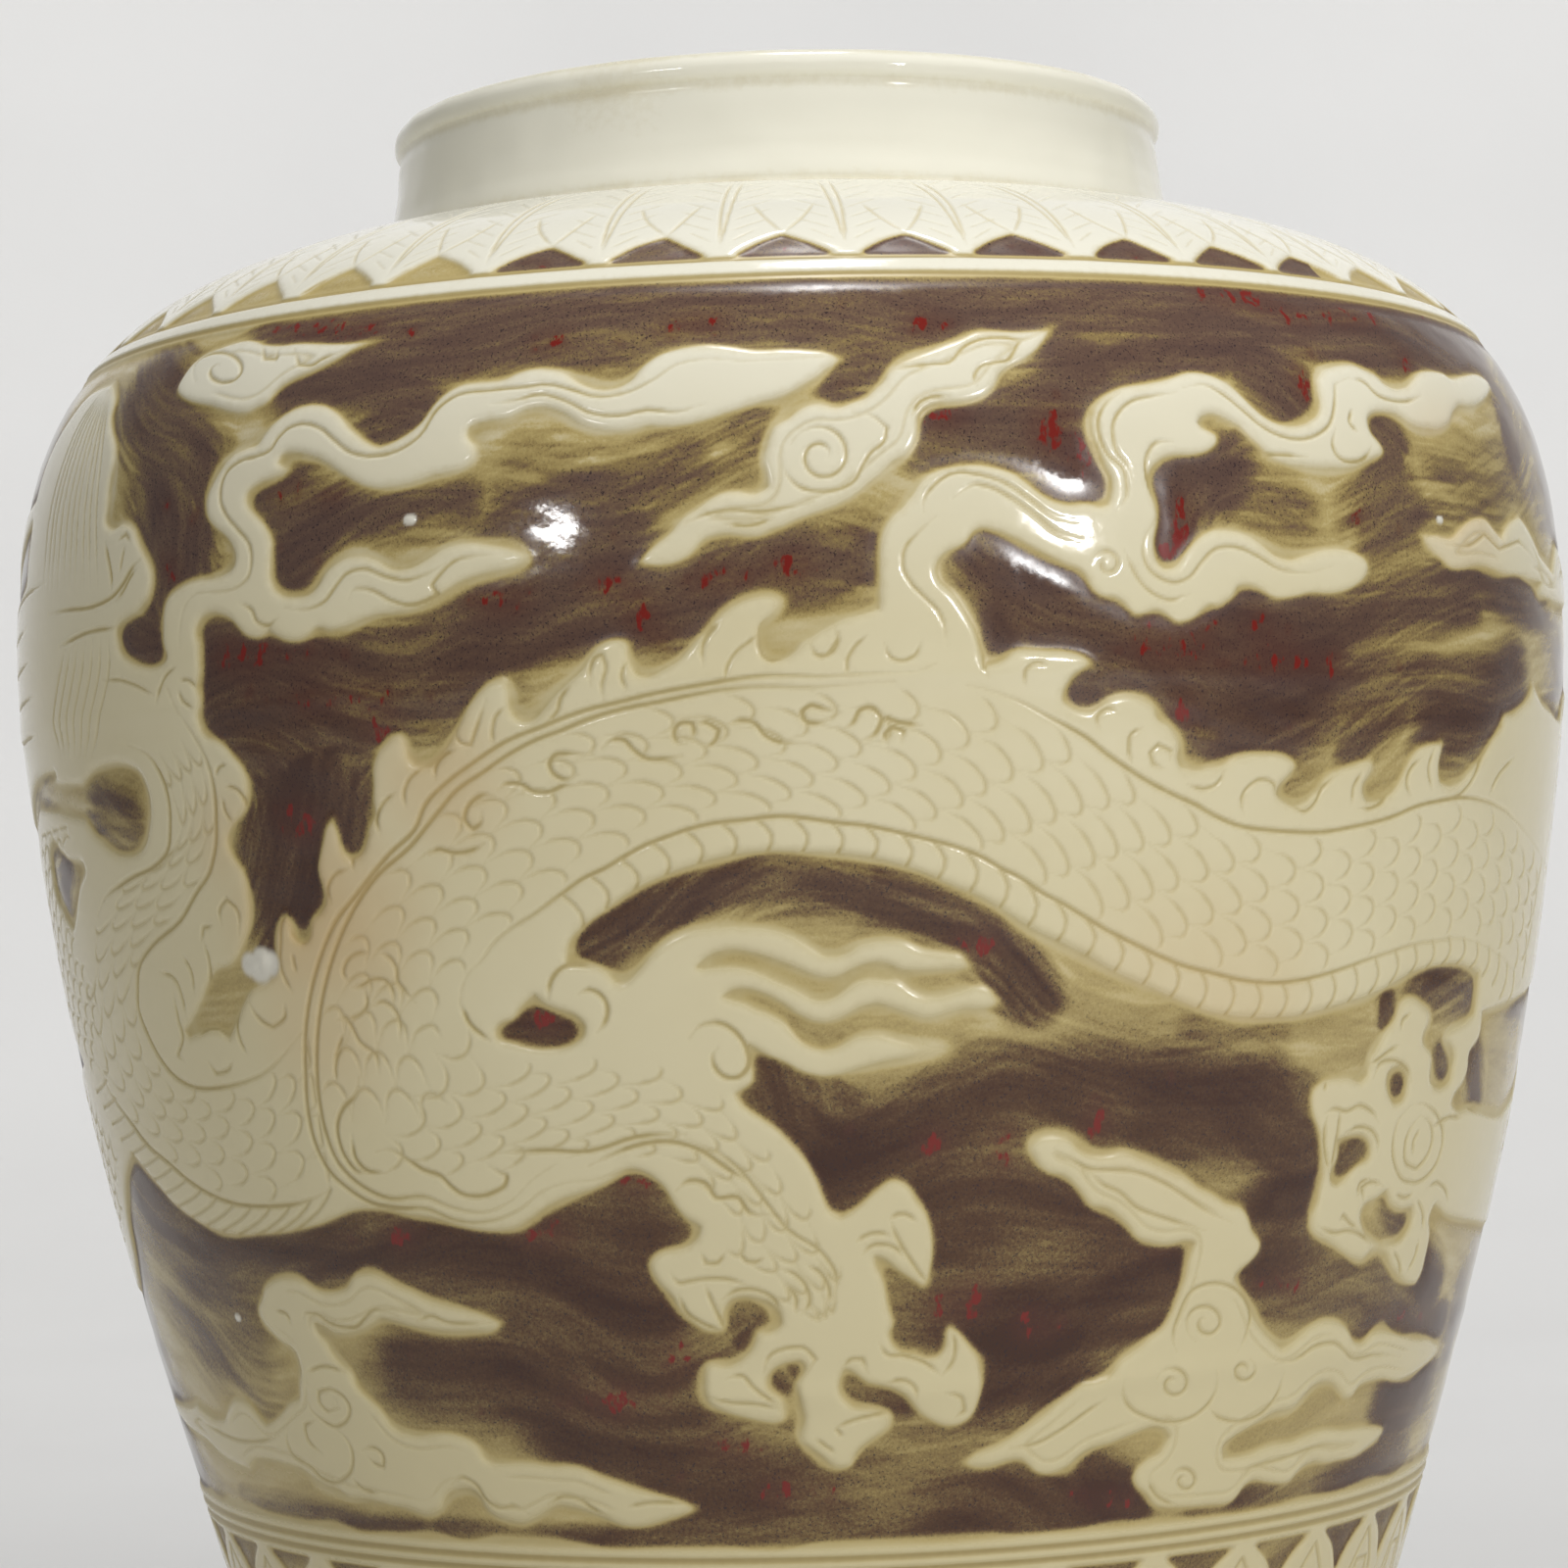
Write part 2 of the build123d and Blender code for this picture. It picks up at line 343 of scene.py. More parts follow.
def grain(across, along, seed):
    """Smooth random values from 0 to 1 at places on a lattice."""
    lattice = np.random.default_rng(seed).random((LATTICE, LATTICE)).astype(np.float32)
    i = np.floor(across).astype(int)
    j = np.floor(along).astype(int)
    u = across - i
    v = along - j
    u = u * u * (3 - 2 * u)
    v = v * v * (3 - 2 * v)
    left, right = i % LATTICE, (i + 1) % LATTICE
    lower, upper = j % LATTICE, (j + 1) % LATTICE
    first = lattice[left, lower] * (1 - u) + lattice[right, lower] * u
    second = lattice[left, upper] * (1 - u) + lattice[right, upper] * u
    return first * (1 - v) + second * v


# Outlines of the carved figures, in pixels of the photograph, clockwise from each first point
CLOUD_HIGH = [
    (180, 400), (183, 389), (187, 383), (193, 374), (200, 367), (210, 360), (220, 356), (240, 349),
    (257, 346), (271, 350), (286, 351), (303, 349), (334, 350), (369, 347), (400, 341), (371, 353),
    (337, 369), (314, 380), (294, 389), (280, 400), (274, 409), (263, 414), (251, 420), (234, 419),
    (214, 413), (200, 411), (186, 406),
]
RIBBON_LEFT = [
    (166, 657), (166, 640), (167, 620), (171, 609), (183, 599), (194, 593), (211, 590), (226, 587),
    (237, 580), (240, 569), (237, 557), (229, 546), (220, 539), (213, 531), (210, 520), (211, 506),
    (217, 493), (226, 477), (237, 464), (251, 457), (263, 453), (269, 444), (274, 437), (286, 426),
    (300, 417), (314, 413), (331, 413), (346, 423), (354, 434), (369, 447), (386, 456), (400, 451),
    (414, 443), (429, 431), (443, 411), (457, 399), (474, 391), (494, 389), (514, 387), (529, 380),
    (543, 376), (560, 376), (577, 380), (591, 390), (606, 396), (626, 396), (643, 389), (657, 373),
    (674, 360), (694, 354), (714, 351), (743, 353), (771, 357), (800, 356), (823, 357), (843, 359),
    (857, 363), (867, 366), (857, 369), (846, 374), (834, 383), (817, 394), (800, 403), (771, 411),
    (737, 423), (709, 431), (686, 434), (663, 433), (646, 438), (617, 438), (594, 432), (577, 421),
    (554, 414), (537, 417), (520, 425), (494, 429), (478, 436), (477, 446), (487, 456), (485, 468),
    (470, 478), (443, 484), (423, 491), (400, 496), (386, 497), (369, 494), (354, 486), (337, 474),
    (323, 466), (303, 461), (287, 463), (283, 471), (292, 477), (303, 476), (280, 487), (262, 494),
    (252, 503), (251, 513), (258, 523), (268, 533), (275, 546), (276, 560), (275, 578), (277, 596),
    (288, 607), (302, 609), (316, 606), (325, 597), (331, 585), (345, 573), (365, 567), (385, 572),
    (400, 581), (417, 580), (437, 570), (454, 559), (475, 553), (500, 555), (525, 560), (546, 570),
    (520, 580), (495, 585), (470, 593), (450, 606), (437, 615), (418, 623), (400, 625), (383, 627),
    (371, 631), (354, 638), (337, 643), (323, 640), (314, 649), (303, 654), (286, 651), (274, 642),
    (266, 651), (251, 649), (243, 641), (236, 632), (228, 627), (217, 624), (206, 629), (200, 640),
    (201, 655), (203, 672), (204, 688), (201, 702), (206, 715), (190, 725), (165, 715), (150, 700),
    (150, 681), (165, 678), (170, 672),
]
CLOUD_MIDDLE = [
    (1085, 327), (1066, 334), (1043, 337), (1017, 337), (997, 339), (983, 346), (969, 351),
    (954, 357), (937, 363), (920, 370), (909, 377), (903, 389), (894, 397), (886, 405), (869, 411),
    (857, 416), (837, 411), (817, 417), (806, 426), (791, 434), (786, 446), (783, 457), (780, 469),
    (784, 483), (786, 496), (771, 504), (754, 501), (737, 503), (723, 511), (711, 520), (697, 529),
    (686, 543), (671, 554), (657, 566), (647, 578), (671, 578), (694, 573), (708, 563), (718, 550),
    (735, 544), (757, 545), (775, 546), (787, 540), (800, 536), (814, 529), (831, 523), (849, 517),
    (866, 509), (877, 501), (889, 491), (900, 482), (914, 469), (926, 463), (935, 450), (938, 436),
    (938, 424), (945, 416), (955, 411), (970, 410), (985, 409), (1000, 405), (1011, 399),
    (1018, 389), (1021, 380), (1030, 373), (1045, 367), (1059, 358), (1068, 347), (1078, 334),
]
RIBBON_RIGHT = [
    (900, 640), (900, 611), (899, 589), (899, 569), (900, 549), (910, 529), (920, 520), (934, 503),
    (943, 489), (957, 480), (977, 474), (1000, 473), (1020, 477), (1037, 483), (1051, 494),
    (1071, 509), (1090, 515), (1114, 514), (1123, 517), (1134, 514), (1137, 497), (1136, 486),
    (1129, 474), (1123, 457), (1117, 440), (1116, 426), (1123, 409), (1134, 400), (1149, 394),
    (1171, 391), (1200, 384), (1211, 379), (1226, 379), (1240, 383), (1254, 390), (1269, 403),
    (1280, 414), (1294, 426), (1309, 433), (1323, 434), (1337, 430), (1347, 421), (1349, 409),
    (1346, 397), (1346, 386), (1351, 377), (1363, 373), (1380, 371), (1394, 377), (1406, 383),
    (1414, 391), (1426, 396), (1437, 394), (1444, 386), (1450, 379), (1461, 377), (1474, 380),
    (1483, 386), (1494, 383), (1506, 380), (1517, 386), (1523, 395), (1520, 403), (1511, 411),
    (1503, 414), (1491, 413), (1484, 420), (1480, 431), (1471, 437), (1460, 437), (1446, 434),
    (1437, 429), (1429, 423), (1414, 420), (1403, 421), (1397, 426), (1400, 440), (1411, 453),
    (1416, 463), (1400, 469), (1380, 477), (1363, 477), (1340, 476), (1317, 473), (1303, 469),
    (1289, 457), (1277, 446), (1266, 434), (1251, 426), (1237, 421), (1227, 424), (1223, 431),
    (1229, 437), (1240, 440), (1246, 446), (1244, 454), (1234, 461), (1217, 464), (1200, 464),
    (1186, 469), (1174, 483), (1174, 494), (1180, 511), (1183, 531), (1180, 549), (1180, 563),
    (1183, 574), (1191, 580), (1203, 577), (1211, 563), (1223, 549), (1237, 541), (1254, 541),
    (1269, 544), (1280, 549), (1291, 557), (1303, 567), (1317, 571), (1334, 566), (1351, 561),
    (1369, 560), (1383, 563), (1394, 569), (1399, 577), (1396, 588), (1375, 603), (1357, 606),
    (1340, 605), (1320, 611), (1300, 611), (1290, 603), (1278, 597), (1264, 598), (1262, 606),
    (1253, 614), (1246, 619), (1237, 617), (1229, 623), (1220, 631), (1209, 636), (1200, 636),
    (1194, 629), (1183, 623), (1169, 627), (1159, 631), (1154, 623), (1147, 614), (1137, 609),
    (1126, 609), (1117, 603), (1111, 591), (1106, 583), (1091, 577), (1074, 569), (1057, 560),
    (1035, 548), (1018, 541), (1003, 538), (993, 543), (990, 552), (983, 557), (968, 562),
    (958, 572), (956, 584), (961, 595), (971, 603), (980, 615), (988, 628), (996, 642), (1000, 654),
    (1006, 690), (950, 700), (905, 690),
]
CLOUD_EDGE = [
    (1449, 544), (1466, 546), (1483, 549), (1494, 537), (1503, 530), (1517, 530), (1526, 540),
    (1534, 550), (1541, 534), (1551, 527), (1557, 534), (1566, 551), (1574, 569), (1583, 580),
    (1589, 597), (1563, 591), (1549, 587), (1537, 586), (1523, 580), (1509, 577), (1494, 580),
    (1483, 580), (1471, 569), (1457, 557),
]
CLOUD_LEFT = [
    (176, 1429), (183, 1434), (194, 1437), (200, 1434), (211, 1443), (220, 1449), (229, 1449),
    (233, 1437), (240, 1429), (249, 1430), (257, 1437), (266, 1449), (271, 1454), (280, 1449),
    (289, 1440), (297, 1431), (306, 1428), (306, 1414), (307, 1400), (303, 1386), (301, 1380),
    (286, 1369), (274, 1357), (266, 1346), (263, 1337), (267, 1326), (270, 1314), (280, 1306),
    (291, 1304), (306, 1306), (314, 1311), (323, 1317), (340, 1319), (354, 1314), (360, 1303),
    (371, 1300), (380, 1300), (394, 1306), (406, 1313), (417, 1317), (434, 1326), (457, 1333),
    (480, 1339), (497, 1344), (516, 1349), (509, 1357), (486, 1359), (457, 1359), (437, 1357),
    (417, 1353), (400, 1348), (389, 1346), (380, 1351), (369, 1357), (354, 1361), (340, 1360),
    (329, 1353), (320, 1350), (323, 1360), (331, 1369), (337, 1380), (346, 1391), (357, 1400),
    (363, 1414), (374, 1426), (386, 1437), (394, 1449), (403, 1459), (414, 1463), (426, 1466),
    (440, 1464), (460, 1463), (469, 1466), (480, 1471), (489, 1480), (494, 1489), (500, 1493),
    (520, 1494), (543, 1494), (560, 1497), (583, 1497), (597, 1500), (611, 1507), (629, 1513),
    (646, 1519), (666, 1524), (686, 1529), (703, 1534), (717, 1540), (709, 1544), (691, 1549),
    (674, 1554), (654, 1559), (634, 1557), (620, 1551), (600, 1543), (586, 1539), (571, 1537),
    (557, 1543), (546, 1550), (537, 1554), (523, 1553), (509, 1549), (497, 1540), (491, 1529),
    (483, 1521), (471, 1520), (460, 1523), (454, 1529), (450, 1540), (437, 1546), (417, 1540),
    (400, 1537), (371, 1530), (357, 1529), (346, 1521), (334, 1517), (320, 1509), (309, 1500),
    (297, 1496), (280, 1491), (269, 1489), (261, 1489), (254, 1500), (234, 1491), (223, 1483),
    (211, 1471), (200, 1463), (189, 1454),
]
CLOUD_RIGHT = [
    (1051, 1171), (1057, 1164), (1069, 1160), (1083, 1160), (1094, 1164), (1103, 1174),
    (1114, 1179), (1131, 1180), (1149, 1176), (1163, 1181), (1180, 1188), (1200, 1197),
    (1214, 1203), (1223, 1211), (1240, 1219), (1254, 1229), (1269, 1231), (1277, 1246),
    (1280, 1257), (1289, 1269), (1287, 1277), (1277, 1289), (1266, 1297), (1260, 1304),
    (1269, 1317), (1276, 1329), (1280, 1343), (1286, 1354), (1297, 1366), (1309, 1377),
    (1317, 1373), (1329, 1363), (1340, 1354), (1351, 1349), (1366, 1349), (1377, 1357),
    (1383, 1369), (1391, 1370), (1400, 1361), (1409, 1357), (1420, 1359), (1446, 1366),
    (1460, 1367), (1471, 1376), (1463, 1386), (1451, 1397), (1437, 1406), (1423, 1410),
    (1411, 1407), (1400, 1409), (1389, 1414), (1380, 1426), (1373, 1427), (1369, 1420),
    (1361, 1411), (1351, 1410), (1340, 1416), (1331, 1426), (1320, 1437), (1303, 1441),
    (1286, 1451), (1269, 1461), (1254, 1471), (1249, 1476), (1250, 1489), (1266, 1487),
    (1280, 1483), (1294, 1477), (1309, 1474), (1323, 1471), (1334, 1466), (1351, 1460),
    (1374, 1459), (1397, 1456), (1416, 1457), (1409, 1466), (1397, 1477), (1383, 1487),
    (1366, 1491), (1354, 1493), (1343, 1491), (1331, 1497), (1323, 1506), (1317, 1513),
    (1294, 1513), (1280, 1511), (1271, 1517), (1263, 1529), (1257, 1534), (1237, 1537),
    (1214, 1539), (1194, 1540), (1180, 1538), (1171, 1526), (1160, 1517), (1157, 1509),
    (1161, 1500), (1171, 1491), (1186, 1483), (1191, 1474), (1196, 1466), (1191, 1459),
    (1180, 1456), (1166, 1460), (1151, 1466), (1134, 1473), (1114, 1479), (1103, 1486),
    (1091, 1497), (1080, 1503), (1066, 1506), (1057, 1504), (1051, 1497), (1043, 1490),
    (1029, 1491), (1011, 1496), (994, 1497), (979, 1494), (994, 1487), (1011, 1480), (1029, 1471),
    (1043, 1461), (1057, 1451), (1071, 1440), (1083, 1429), (1094, 1420), (1106, 1411),
    (1120, 1409), (1134, 1403), (1143, 1391), (1154, 1383), (1166, 1374), (1174, 1366),
    (1186, 1357), (1195, 1343), (1203, 1325), (1211, 1302), (1214, 1285), (1222, 1268),
    (1211, 1267), (1194, 1271), (1177, 1269), (1160, 1263), (1153, 1252), (1143, 1243),
    (1131, 1234), (1114, 1231), (1106, 1220), (1097, 1209), (1086, 1200), (1071, 1197),
    (1063, 1191), (1057, 1180),
]
# The dragon's back with its fins, from the chest to the right edge of what is seen
BACK_FINS = [
    (411, 747), (414, 763), (420, 780), (429, 783), (437, 784), (451, 771), (460, 758), (468, 743),
    (476, 724), (487, 709), (498, 699), (510, 694), (519, 695), (520, 709), (521, 726), (531, 736),
    (546, 734), (554, 726), (563, 714), (580, 697), (598, 680), (604, 668), (614, 657), (627, 652),
    (646, 652), (641, 660), (643, 677), (651, 689), (663, 691), (674, 686), (682, 681), (695, 673),
    (704, 662), (714, 651), (726, 640), (734, 629), (743, 621), (757, 614), (771, 609), (790, 608),
    (800, 612), (791, 626), (777, 637), (776, 654), (783, 669), (797, 674), (811, 666), (820, 655),
    (832, 648), (845, 640), (860, 632), (880, 627), (900, 622), (940, 660), (1006, 680),
    (1017, 677), (1029, 671), (1037, 663), (1051, 663), (1069, 664), (1086, 664), (1097, 666),
    (1109, 669), (1120, 681), (1111, 681), (1100, 686), (1091, 697), (1087, 706), (1087, 716),
    (1094, 721), (1106, 726), (1117, 726), (1126, 720), (1134, 714), (1143, 711), (1157, 711),
    (1171, 716), (1180, 723), (1183, 734), (1194, 740), (1200, 749), (1206, 760), (1203, 774),
    (1206, 783), (1226, 786), (1237, 783), (1251, 780), (1266, 771), (1277, 769), (1294, 769),
    (1309, 770), (1320, 776), (1327, 781), (1314, 794), (1306, 803), (1304, 811), (1314, 820),
    (1323, 823), (1331, 820), (1340, 814), (1349, 803), (1357, 791), (1369, 786), (1383, 781),
    (1404, 774), (1403, 783), (1399, 791), (1393, 800), (1393, 811), (1397, 819), (1409, 817),
    (1423, 809), (1429, 800), (1434, 789), (1440, 777), (1446, 766), (1457, 760), (1469, 757),
    (1476, 753), (1474, 763), (1471, 774), (1470, 789), (1471, 799), (1483, 803), (1494, 797),
    (1503, 786), (1514, 774), (1523, 757), (1534, 743), (1546, 729), (1557, 719), (1563, 711),
    (1564, 697), (1576, 720),
]
# The body's lower edge, from the right edge back to the elbow
BELLY_EDGE = [
    (1560, 1052), (1537, 1031), (1526, 1014), (1520, 1000), (1506, 989), (1489, 984), (1466, 986),
    (1446, 991), (1429, 1000), (1414, 1009), (1394, 1017), (1366, 1026), (1329, 1036), (1294, 1039),
    (1251, 1036), (1223, 1029), (1200, 1019), (1171, 1006), (1143, 994), (1114, 977), (1086, 963),
    (1057, 949), (1029, 931), (1000, 914), (971, 903), (943, 890), (914, 881), (886, 874),
    (857, 871), (829, 870), (800, 869), (757, 871), (729, 877), (700, 886), (671, 897), (643, 911),
    (623, 926), (600, 943), (583, 960), (578, 983),
]
# Elbow hair, forefoot with its claws, and the forearm's lower edge to the left limb
FORELEG = [
    (600, 984), (617, 989), (629, 1003), (637, 1004), (643, 1000), (654, 989), (666, 974),
    (683, 960), (703, 951), (729, 947), (757, 946), (783, 948), (806, 954), (826, 966), (843, 976),
    (863, 974), (880, 964), (900, 960), (923, 961), (940, 969), (960, 972), (985, 976), (994, 989),
    (971, 989), (943, 991), (920, 989), (906, 983), (886, 983), (871, 989), (857, 996), (840, 997),
    (817, 989), (800, 982), (771, 973), (749, 969), (726, 974), (710, 987), (714, 989), (734, 987),
    (751, 987), (771, 991), (794, 1002), (814, 1011), (829, 1020), (849, 1020), (863, 1011),
    (877, 1001), (900, 1000), (920, 1003), (929, 1011), (943, 1017), (960, 1017), (986, 1010),
    (1000, 1006), (1011, 1009), (1024, 1027), (1006, 1030), (986, 1029), (966, 1034), (949, 1039),
    (929, 1034), (914, 1029), (897, 1024), (877, 1029), (863, 1037), (846, 1043), (829, 1041),
    (814, 1034), (800, 1024), (780, 1014), (760, 1009), (746, 1011), (736, 1018), (757, 1023),
    (771, 1029), (800, 1043), (817, 1062), (837, 1071), (857, 1069), (874, 1059), (897, 1056),
    (920, 1063), (937, 1067), (960, 1069), (978, 1070), (949, 1074), (926, 1080), (910, 1082),
    (886, 1088), (870, 1093), (857, 1097), (840, 1100), (820, 1096), (800, 1085), (783, 1078),
    (764, 1063), (770, 1091), (771, 1106), (763, 1111), (750, 1116), (757, 1126), (777, 1140),
    (794, 1151), (809, 1166), (819, 1176), (829, 1191), (837, 1206), (843, 1223), (849, 1237),
    (860, 1243), (869, 1237), (880, 1229), (889, 1220), (900, 1211), (911, 1203), (923, 1207),
    (931, 1214), (937, 1226), (946, 1237), (951, 1251), (954, 1266), (954, 1280), (951, 1297),
    (949, 1311), (943, 1317), (936, 1310), (926, 1303), (916, 1296), (905, 1286), (893, 1281),
    (895, 1292), (900, 1302), (904, 1312), (906, 1326), (910, 1343), (914, 1351), (908, 1360),
    (911, 1371), (920, 1380), (934, 1381), (949, 1386), (960, 1383), (966, 1371), (965, 1357),
    (971, 1350), (983, 1363), (991, 1374), (1000, 1386), (1002, 1400), (1003, 1414), (1000, 1431),
    (994, 1446), (983, 1454), (966, 1456), (951, 1450), (937, 1440), (930, 1430), (923, 1423),
    (911, 1417), (900, 1414), (886, 1411), (877, 1405), (869, 1399), (863, 1397), (858, 1408),
    (857, 1420), (863, 1429), (871, 1436), (886, 1437), (900, 1440), (913, 1445), (906, 1457),
    (891, 1469), (880, 1477), (873, 1486), (869, 1497), (860, 1499), (851, 1497), (843, 1490),
    (834, 1483), (826, 1477), (817, 1471), (819, 1460), (823, 1449), (820, 1437), (817, 1424),
    (813, 1411), (821, 1403), (824, 1394), (817, 1389), (809, 1391), (798, 1393), (791, 1397),
    (784, 1406), (785, 1418), (800, 1429), (801, 1440), (803, 1451), (791, 1453), (774, 1451),
    (757, 1447), (740, 1441), (726, 1434), (721, 1423), (720, 1409), (721, 1393), (729, 1391),
    (737, 1394), (749, 1393), (760, 1387), (769, 1377), (773, 1366), (771, 1357), (780, 1360),
    (791, 1359), (799, 1351), (797, 1341), (789, 1331), (774, 1326), (760, 1324), (747, 1327),
    (740, 1337), (739, 1347), (743, 1357), (723, 1359), (709, 1351), (694, 1337), (686, 1323),
    (674, 1311), (667, 1300), (664, 1289), (671, 1280), (683, 1277), (700, 1274), (711, 1266),
    (717, 1252), (700, 1243), (686, 1226), (680, 1214), (669, 1203), (655, 1195), (643, 1193),
    (631, 1200), (617, 1209), (600, 1216), (577, 1223), (560, 1231), (543, 1244), (526, 1254),
    (509, 1257), (486, 1256), (466, 1251), (443, 1244), (417, 1240), (400, 1236), (380, 1234),
    (360, 1236), (343, 1243), (323, 1251), (300, 1257), (274, 1260), (249, 1261), (223, 1257),
    (200, 1246), (177, 1229), (160, 1209), (143, 1189), (129, 1171),
]
# Places where the ground shows through or between the coils
GROUND_BETWEEN = [
    (204, 654), (203, 672), (204, 688), (201, 702), (206, 715), (202, 727), (203, 740), (210, 751),
    (220, 755), (229, 761), (238, 772), (246, 781), (251, 795), (252, 812), (250, 826), (238, 842),
    (232, 853), (233, 866), (240, 877), (248, 888), (252, 905), (254, 925), (253, 945), (247, 965),
    (236, 985), (222, 990), (214, 1000), (206, 1020), (196, 1040), (188, 1052), (192, 1059),
    (203, 1054), (215, 1050), (226, 1052), (234, 1060), (238, 1050), (243, 1037), (249, 1023),
    (257, 1009), (270, 1003), (280, 995), (283, 980), (281, 963), (283, 946), (290, 931),
    (297, 937), (299, 950), (305, 961), (312, 962), (317, 953), (318, 938), (326, 933), (333, 918),
    (329, 902), (324, 887), (326, 871), (329, 857), (332, 842), (341, 831), (346, 849), (350, 868),
    (357, 879), (368, 874), (374, 862), (376, 846), (383, 831), (380, 815), (381, 800), (380, 785),
    (384, 772), (396, 757), (404, 750), (411, 747),
]
HOLE_EAR = [
    (137, 626), (123, 634), (119, 640), (120, 655), (124, 668), (135, 676), (150, 681), (165, 678),
    (170, 672), (166, 657), (164, 640), (163, 625), (156, 612), (149, 614),
]
HOLE_COIL = [
    (86, 797), (100, 783), (123, 779), (140, 786), (149, 803), (153, 826), (151, 849), (146, 866),
    (134, 874), (123, 874), (106, 863), (91, 846), (83, 826), (81, 809),
]
HOLE_NECK = [
    (54, 857), (69, 877), (83, 880), (86, 886), (80, 906), (77, 931), (74, 949), (66, 934),
    (57, 914), (53, 891), (51, 869),
]
HOLE_ELBOW = [
    (506, 1054), (510, 1046), (526, 1040), (530, 1031), (540, 1020), (546, 1014), (554, 1023),
    (571, 1031), (589, 1037), (597, 1046), (596, 1057), (583, 1067), (560, 1071), (540, 1069),
    (523, 1064), (509, 1061),
]
HIND_FOOT = [
    (1400, 1080), (1409, 1066), (1417, 1051), (1426, 1040), (1429, 1029), (1434, 1021),
    (1443, 1018), (1451, 1024), (1459, 1031), (1460, 1043), (1454, 1056), (1454, 1066),
    (1461, 1073), (1463, 1083), (1461, 1097), (1464, 1109), (1471, 1111), (1480, 1105),
    (1484, 1091), (1486, 1077), (1482, 1066), (1471, 1060), (1483, 1051), (1497, 1043),
    (1509, 1031), (1514, 1034), (1513, 1049), (1509, 1063), (1501, 1074), (1500, 1089),
    (1494, 1106), (1486, 1117), (1482, 1127), (1489, 1134), (1503, 1131), (1515, 1137),
    (1525, 1140), (1540, 1135),
]
HIND_FOOT_BACK = [
    (1520, 1250), (1512, 1248), (1500, 1245), (1489, 1243), (1475, 1238), (1466, 1228),
    (1460, 1243), (1461, 1257), (1457, 1280), (1453, 1297), (1447, 1310), (1437, 1310),
    (1429, 1303), (1420, 1291), (1417, 1280), (1408, 1274), (1400, 1277), (1391, 1286),
    (1380, 1283), (1366, 1274), (1354, 1266), (1343, 1260), (1339, 1253), (1340, 1243),
    (1346, 1226), (1349, 1211), (1351, 1200), (1351, 1189), (1349, 1171), (1347, 1154),
    (1341, 1140), (1339, 1126), (1340, 1114), (1349, 1105), (1365, 1101), (1380, 1101),
    (1390, 1106), (1398, 1098),
]
HOLES_FOOT = [
    [(1420, 1092), (1430, 1088), (1437, 1097), (1437, 1110), (1431, 1125), (1424, 1127),
     (1418, 1115), (1417, 1100)],
    [(1366, 1163), (1380, 1159), (1394, 1160), (1400, 1169), (1399, 1183), (1386, 1189),
     (1377, 1200), (1366, 1210), (1360, 1206), (1361, 1194), (1366, 1183), (1367, 1171)],
    [(1417, 1214), (1406, 1223), (1394, 1229), (1390, 1243), (1394, 1257), (1406, 1269),
     (1417, 1270), (1429, 1267), (1437, 1257), (1443, 1243), (1443, 1231), (1431, 1234),
     (1421, 1229)],
]
# The mane at the left edge: its fan of hair, the ear's curl below it, and the second lock
MANE_FAN = [
    (114, 391), (94, 400), (74, 423), (57, 451), (43, 486), (36, 514), (31, 549), (27, 591),
    (26, 640), (30, 700), (45, 760), (60, 800), (120, 770), (150, 700), (119, 640), (123, 634),
    (137, 626), (149, 614), (154, 597), (154, 583), (149, 569), (143, 557), (140, 549), (134, 537),
    (126, 534), (114, 540), (109, 537), (109, 514), (111, 491), (116, 469), (117, 454), (114, 440),
    (113, 423), (117, 411),
]

# What lies beyond the left and right edges of the photograph, as (angle, height)
NECK_BEHIND = [(-70, 224), (-76, 236), (-80, 250), (-81, 266), (-79, 282), (-75, 293), (-71, 299)]
HEAD = [
    (-62, 306), (-70, 305), (-76, 300), (-80, 292), (-83, 301), (-87, 293), (-90, 301), (-94, 291),
    (-97, 284), (-101, 277), (-102, 284), (-106, 278), (-105, 287), (-110, 284), (-111, 291),
    (-108, 296), (-102, 297), (-98, 301), (-99, 306), (-104, 306), (-109, 304), (-114, 303),
    (-118, 305), (-121, 311), (-122, 319), (-120, 326), (-116, 330), (-113, 326), (-110, 329),
    (-106, 333), (-103, 341), (-99, 346), (-95, 344), (-92, 348), (-90, 357), (-86, 366),
    (-80, 373), (-73, 377), (-66, 378), (-72, 371), (-78, 364), (-82, 356), (-82, 349), (-76, 352),
    (-68, 356), (-62, 352),
]
EYE = (-99.5, 325.5)
EYE_RADIUS = 2.0
WHISKER = [(-119, 321), (-125, 326), (-130, 336), (-132, 347), (-129, 356), (-124, 359)]
WHISKER_LOW = [(-110, 288), (-116, 282), (-122, 280), (-127, 284), (-129, 291)]
PEARL = (-143, 306)
PEARL_RADIUS = 12.0
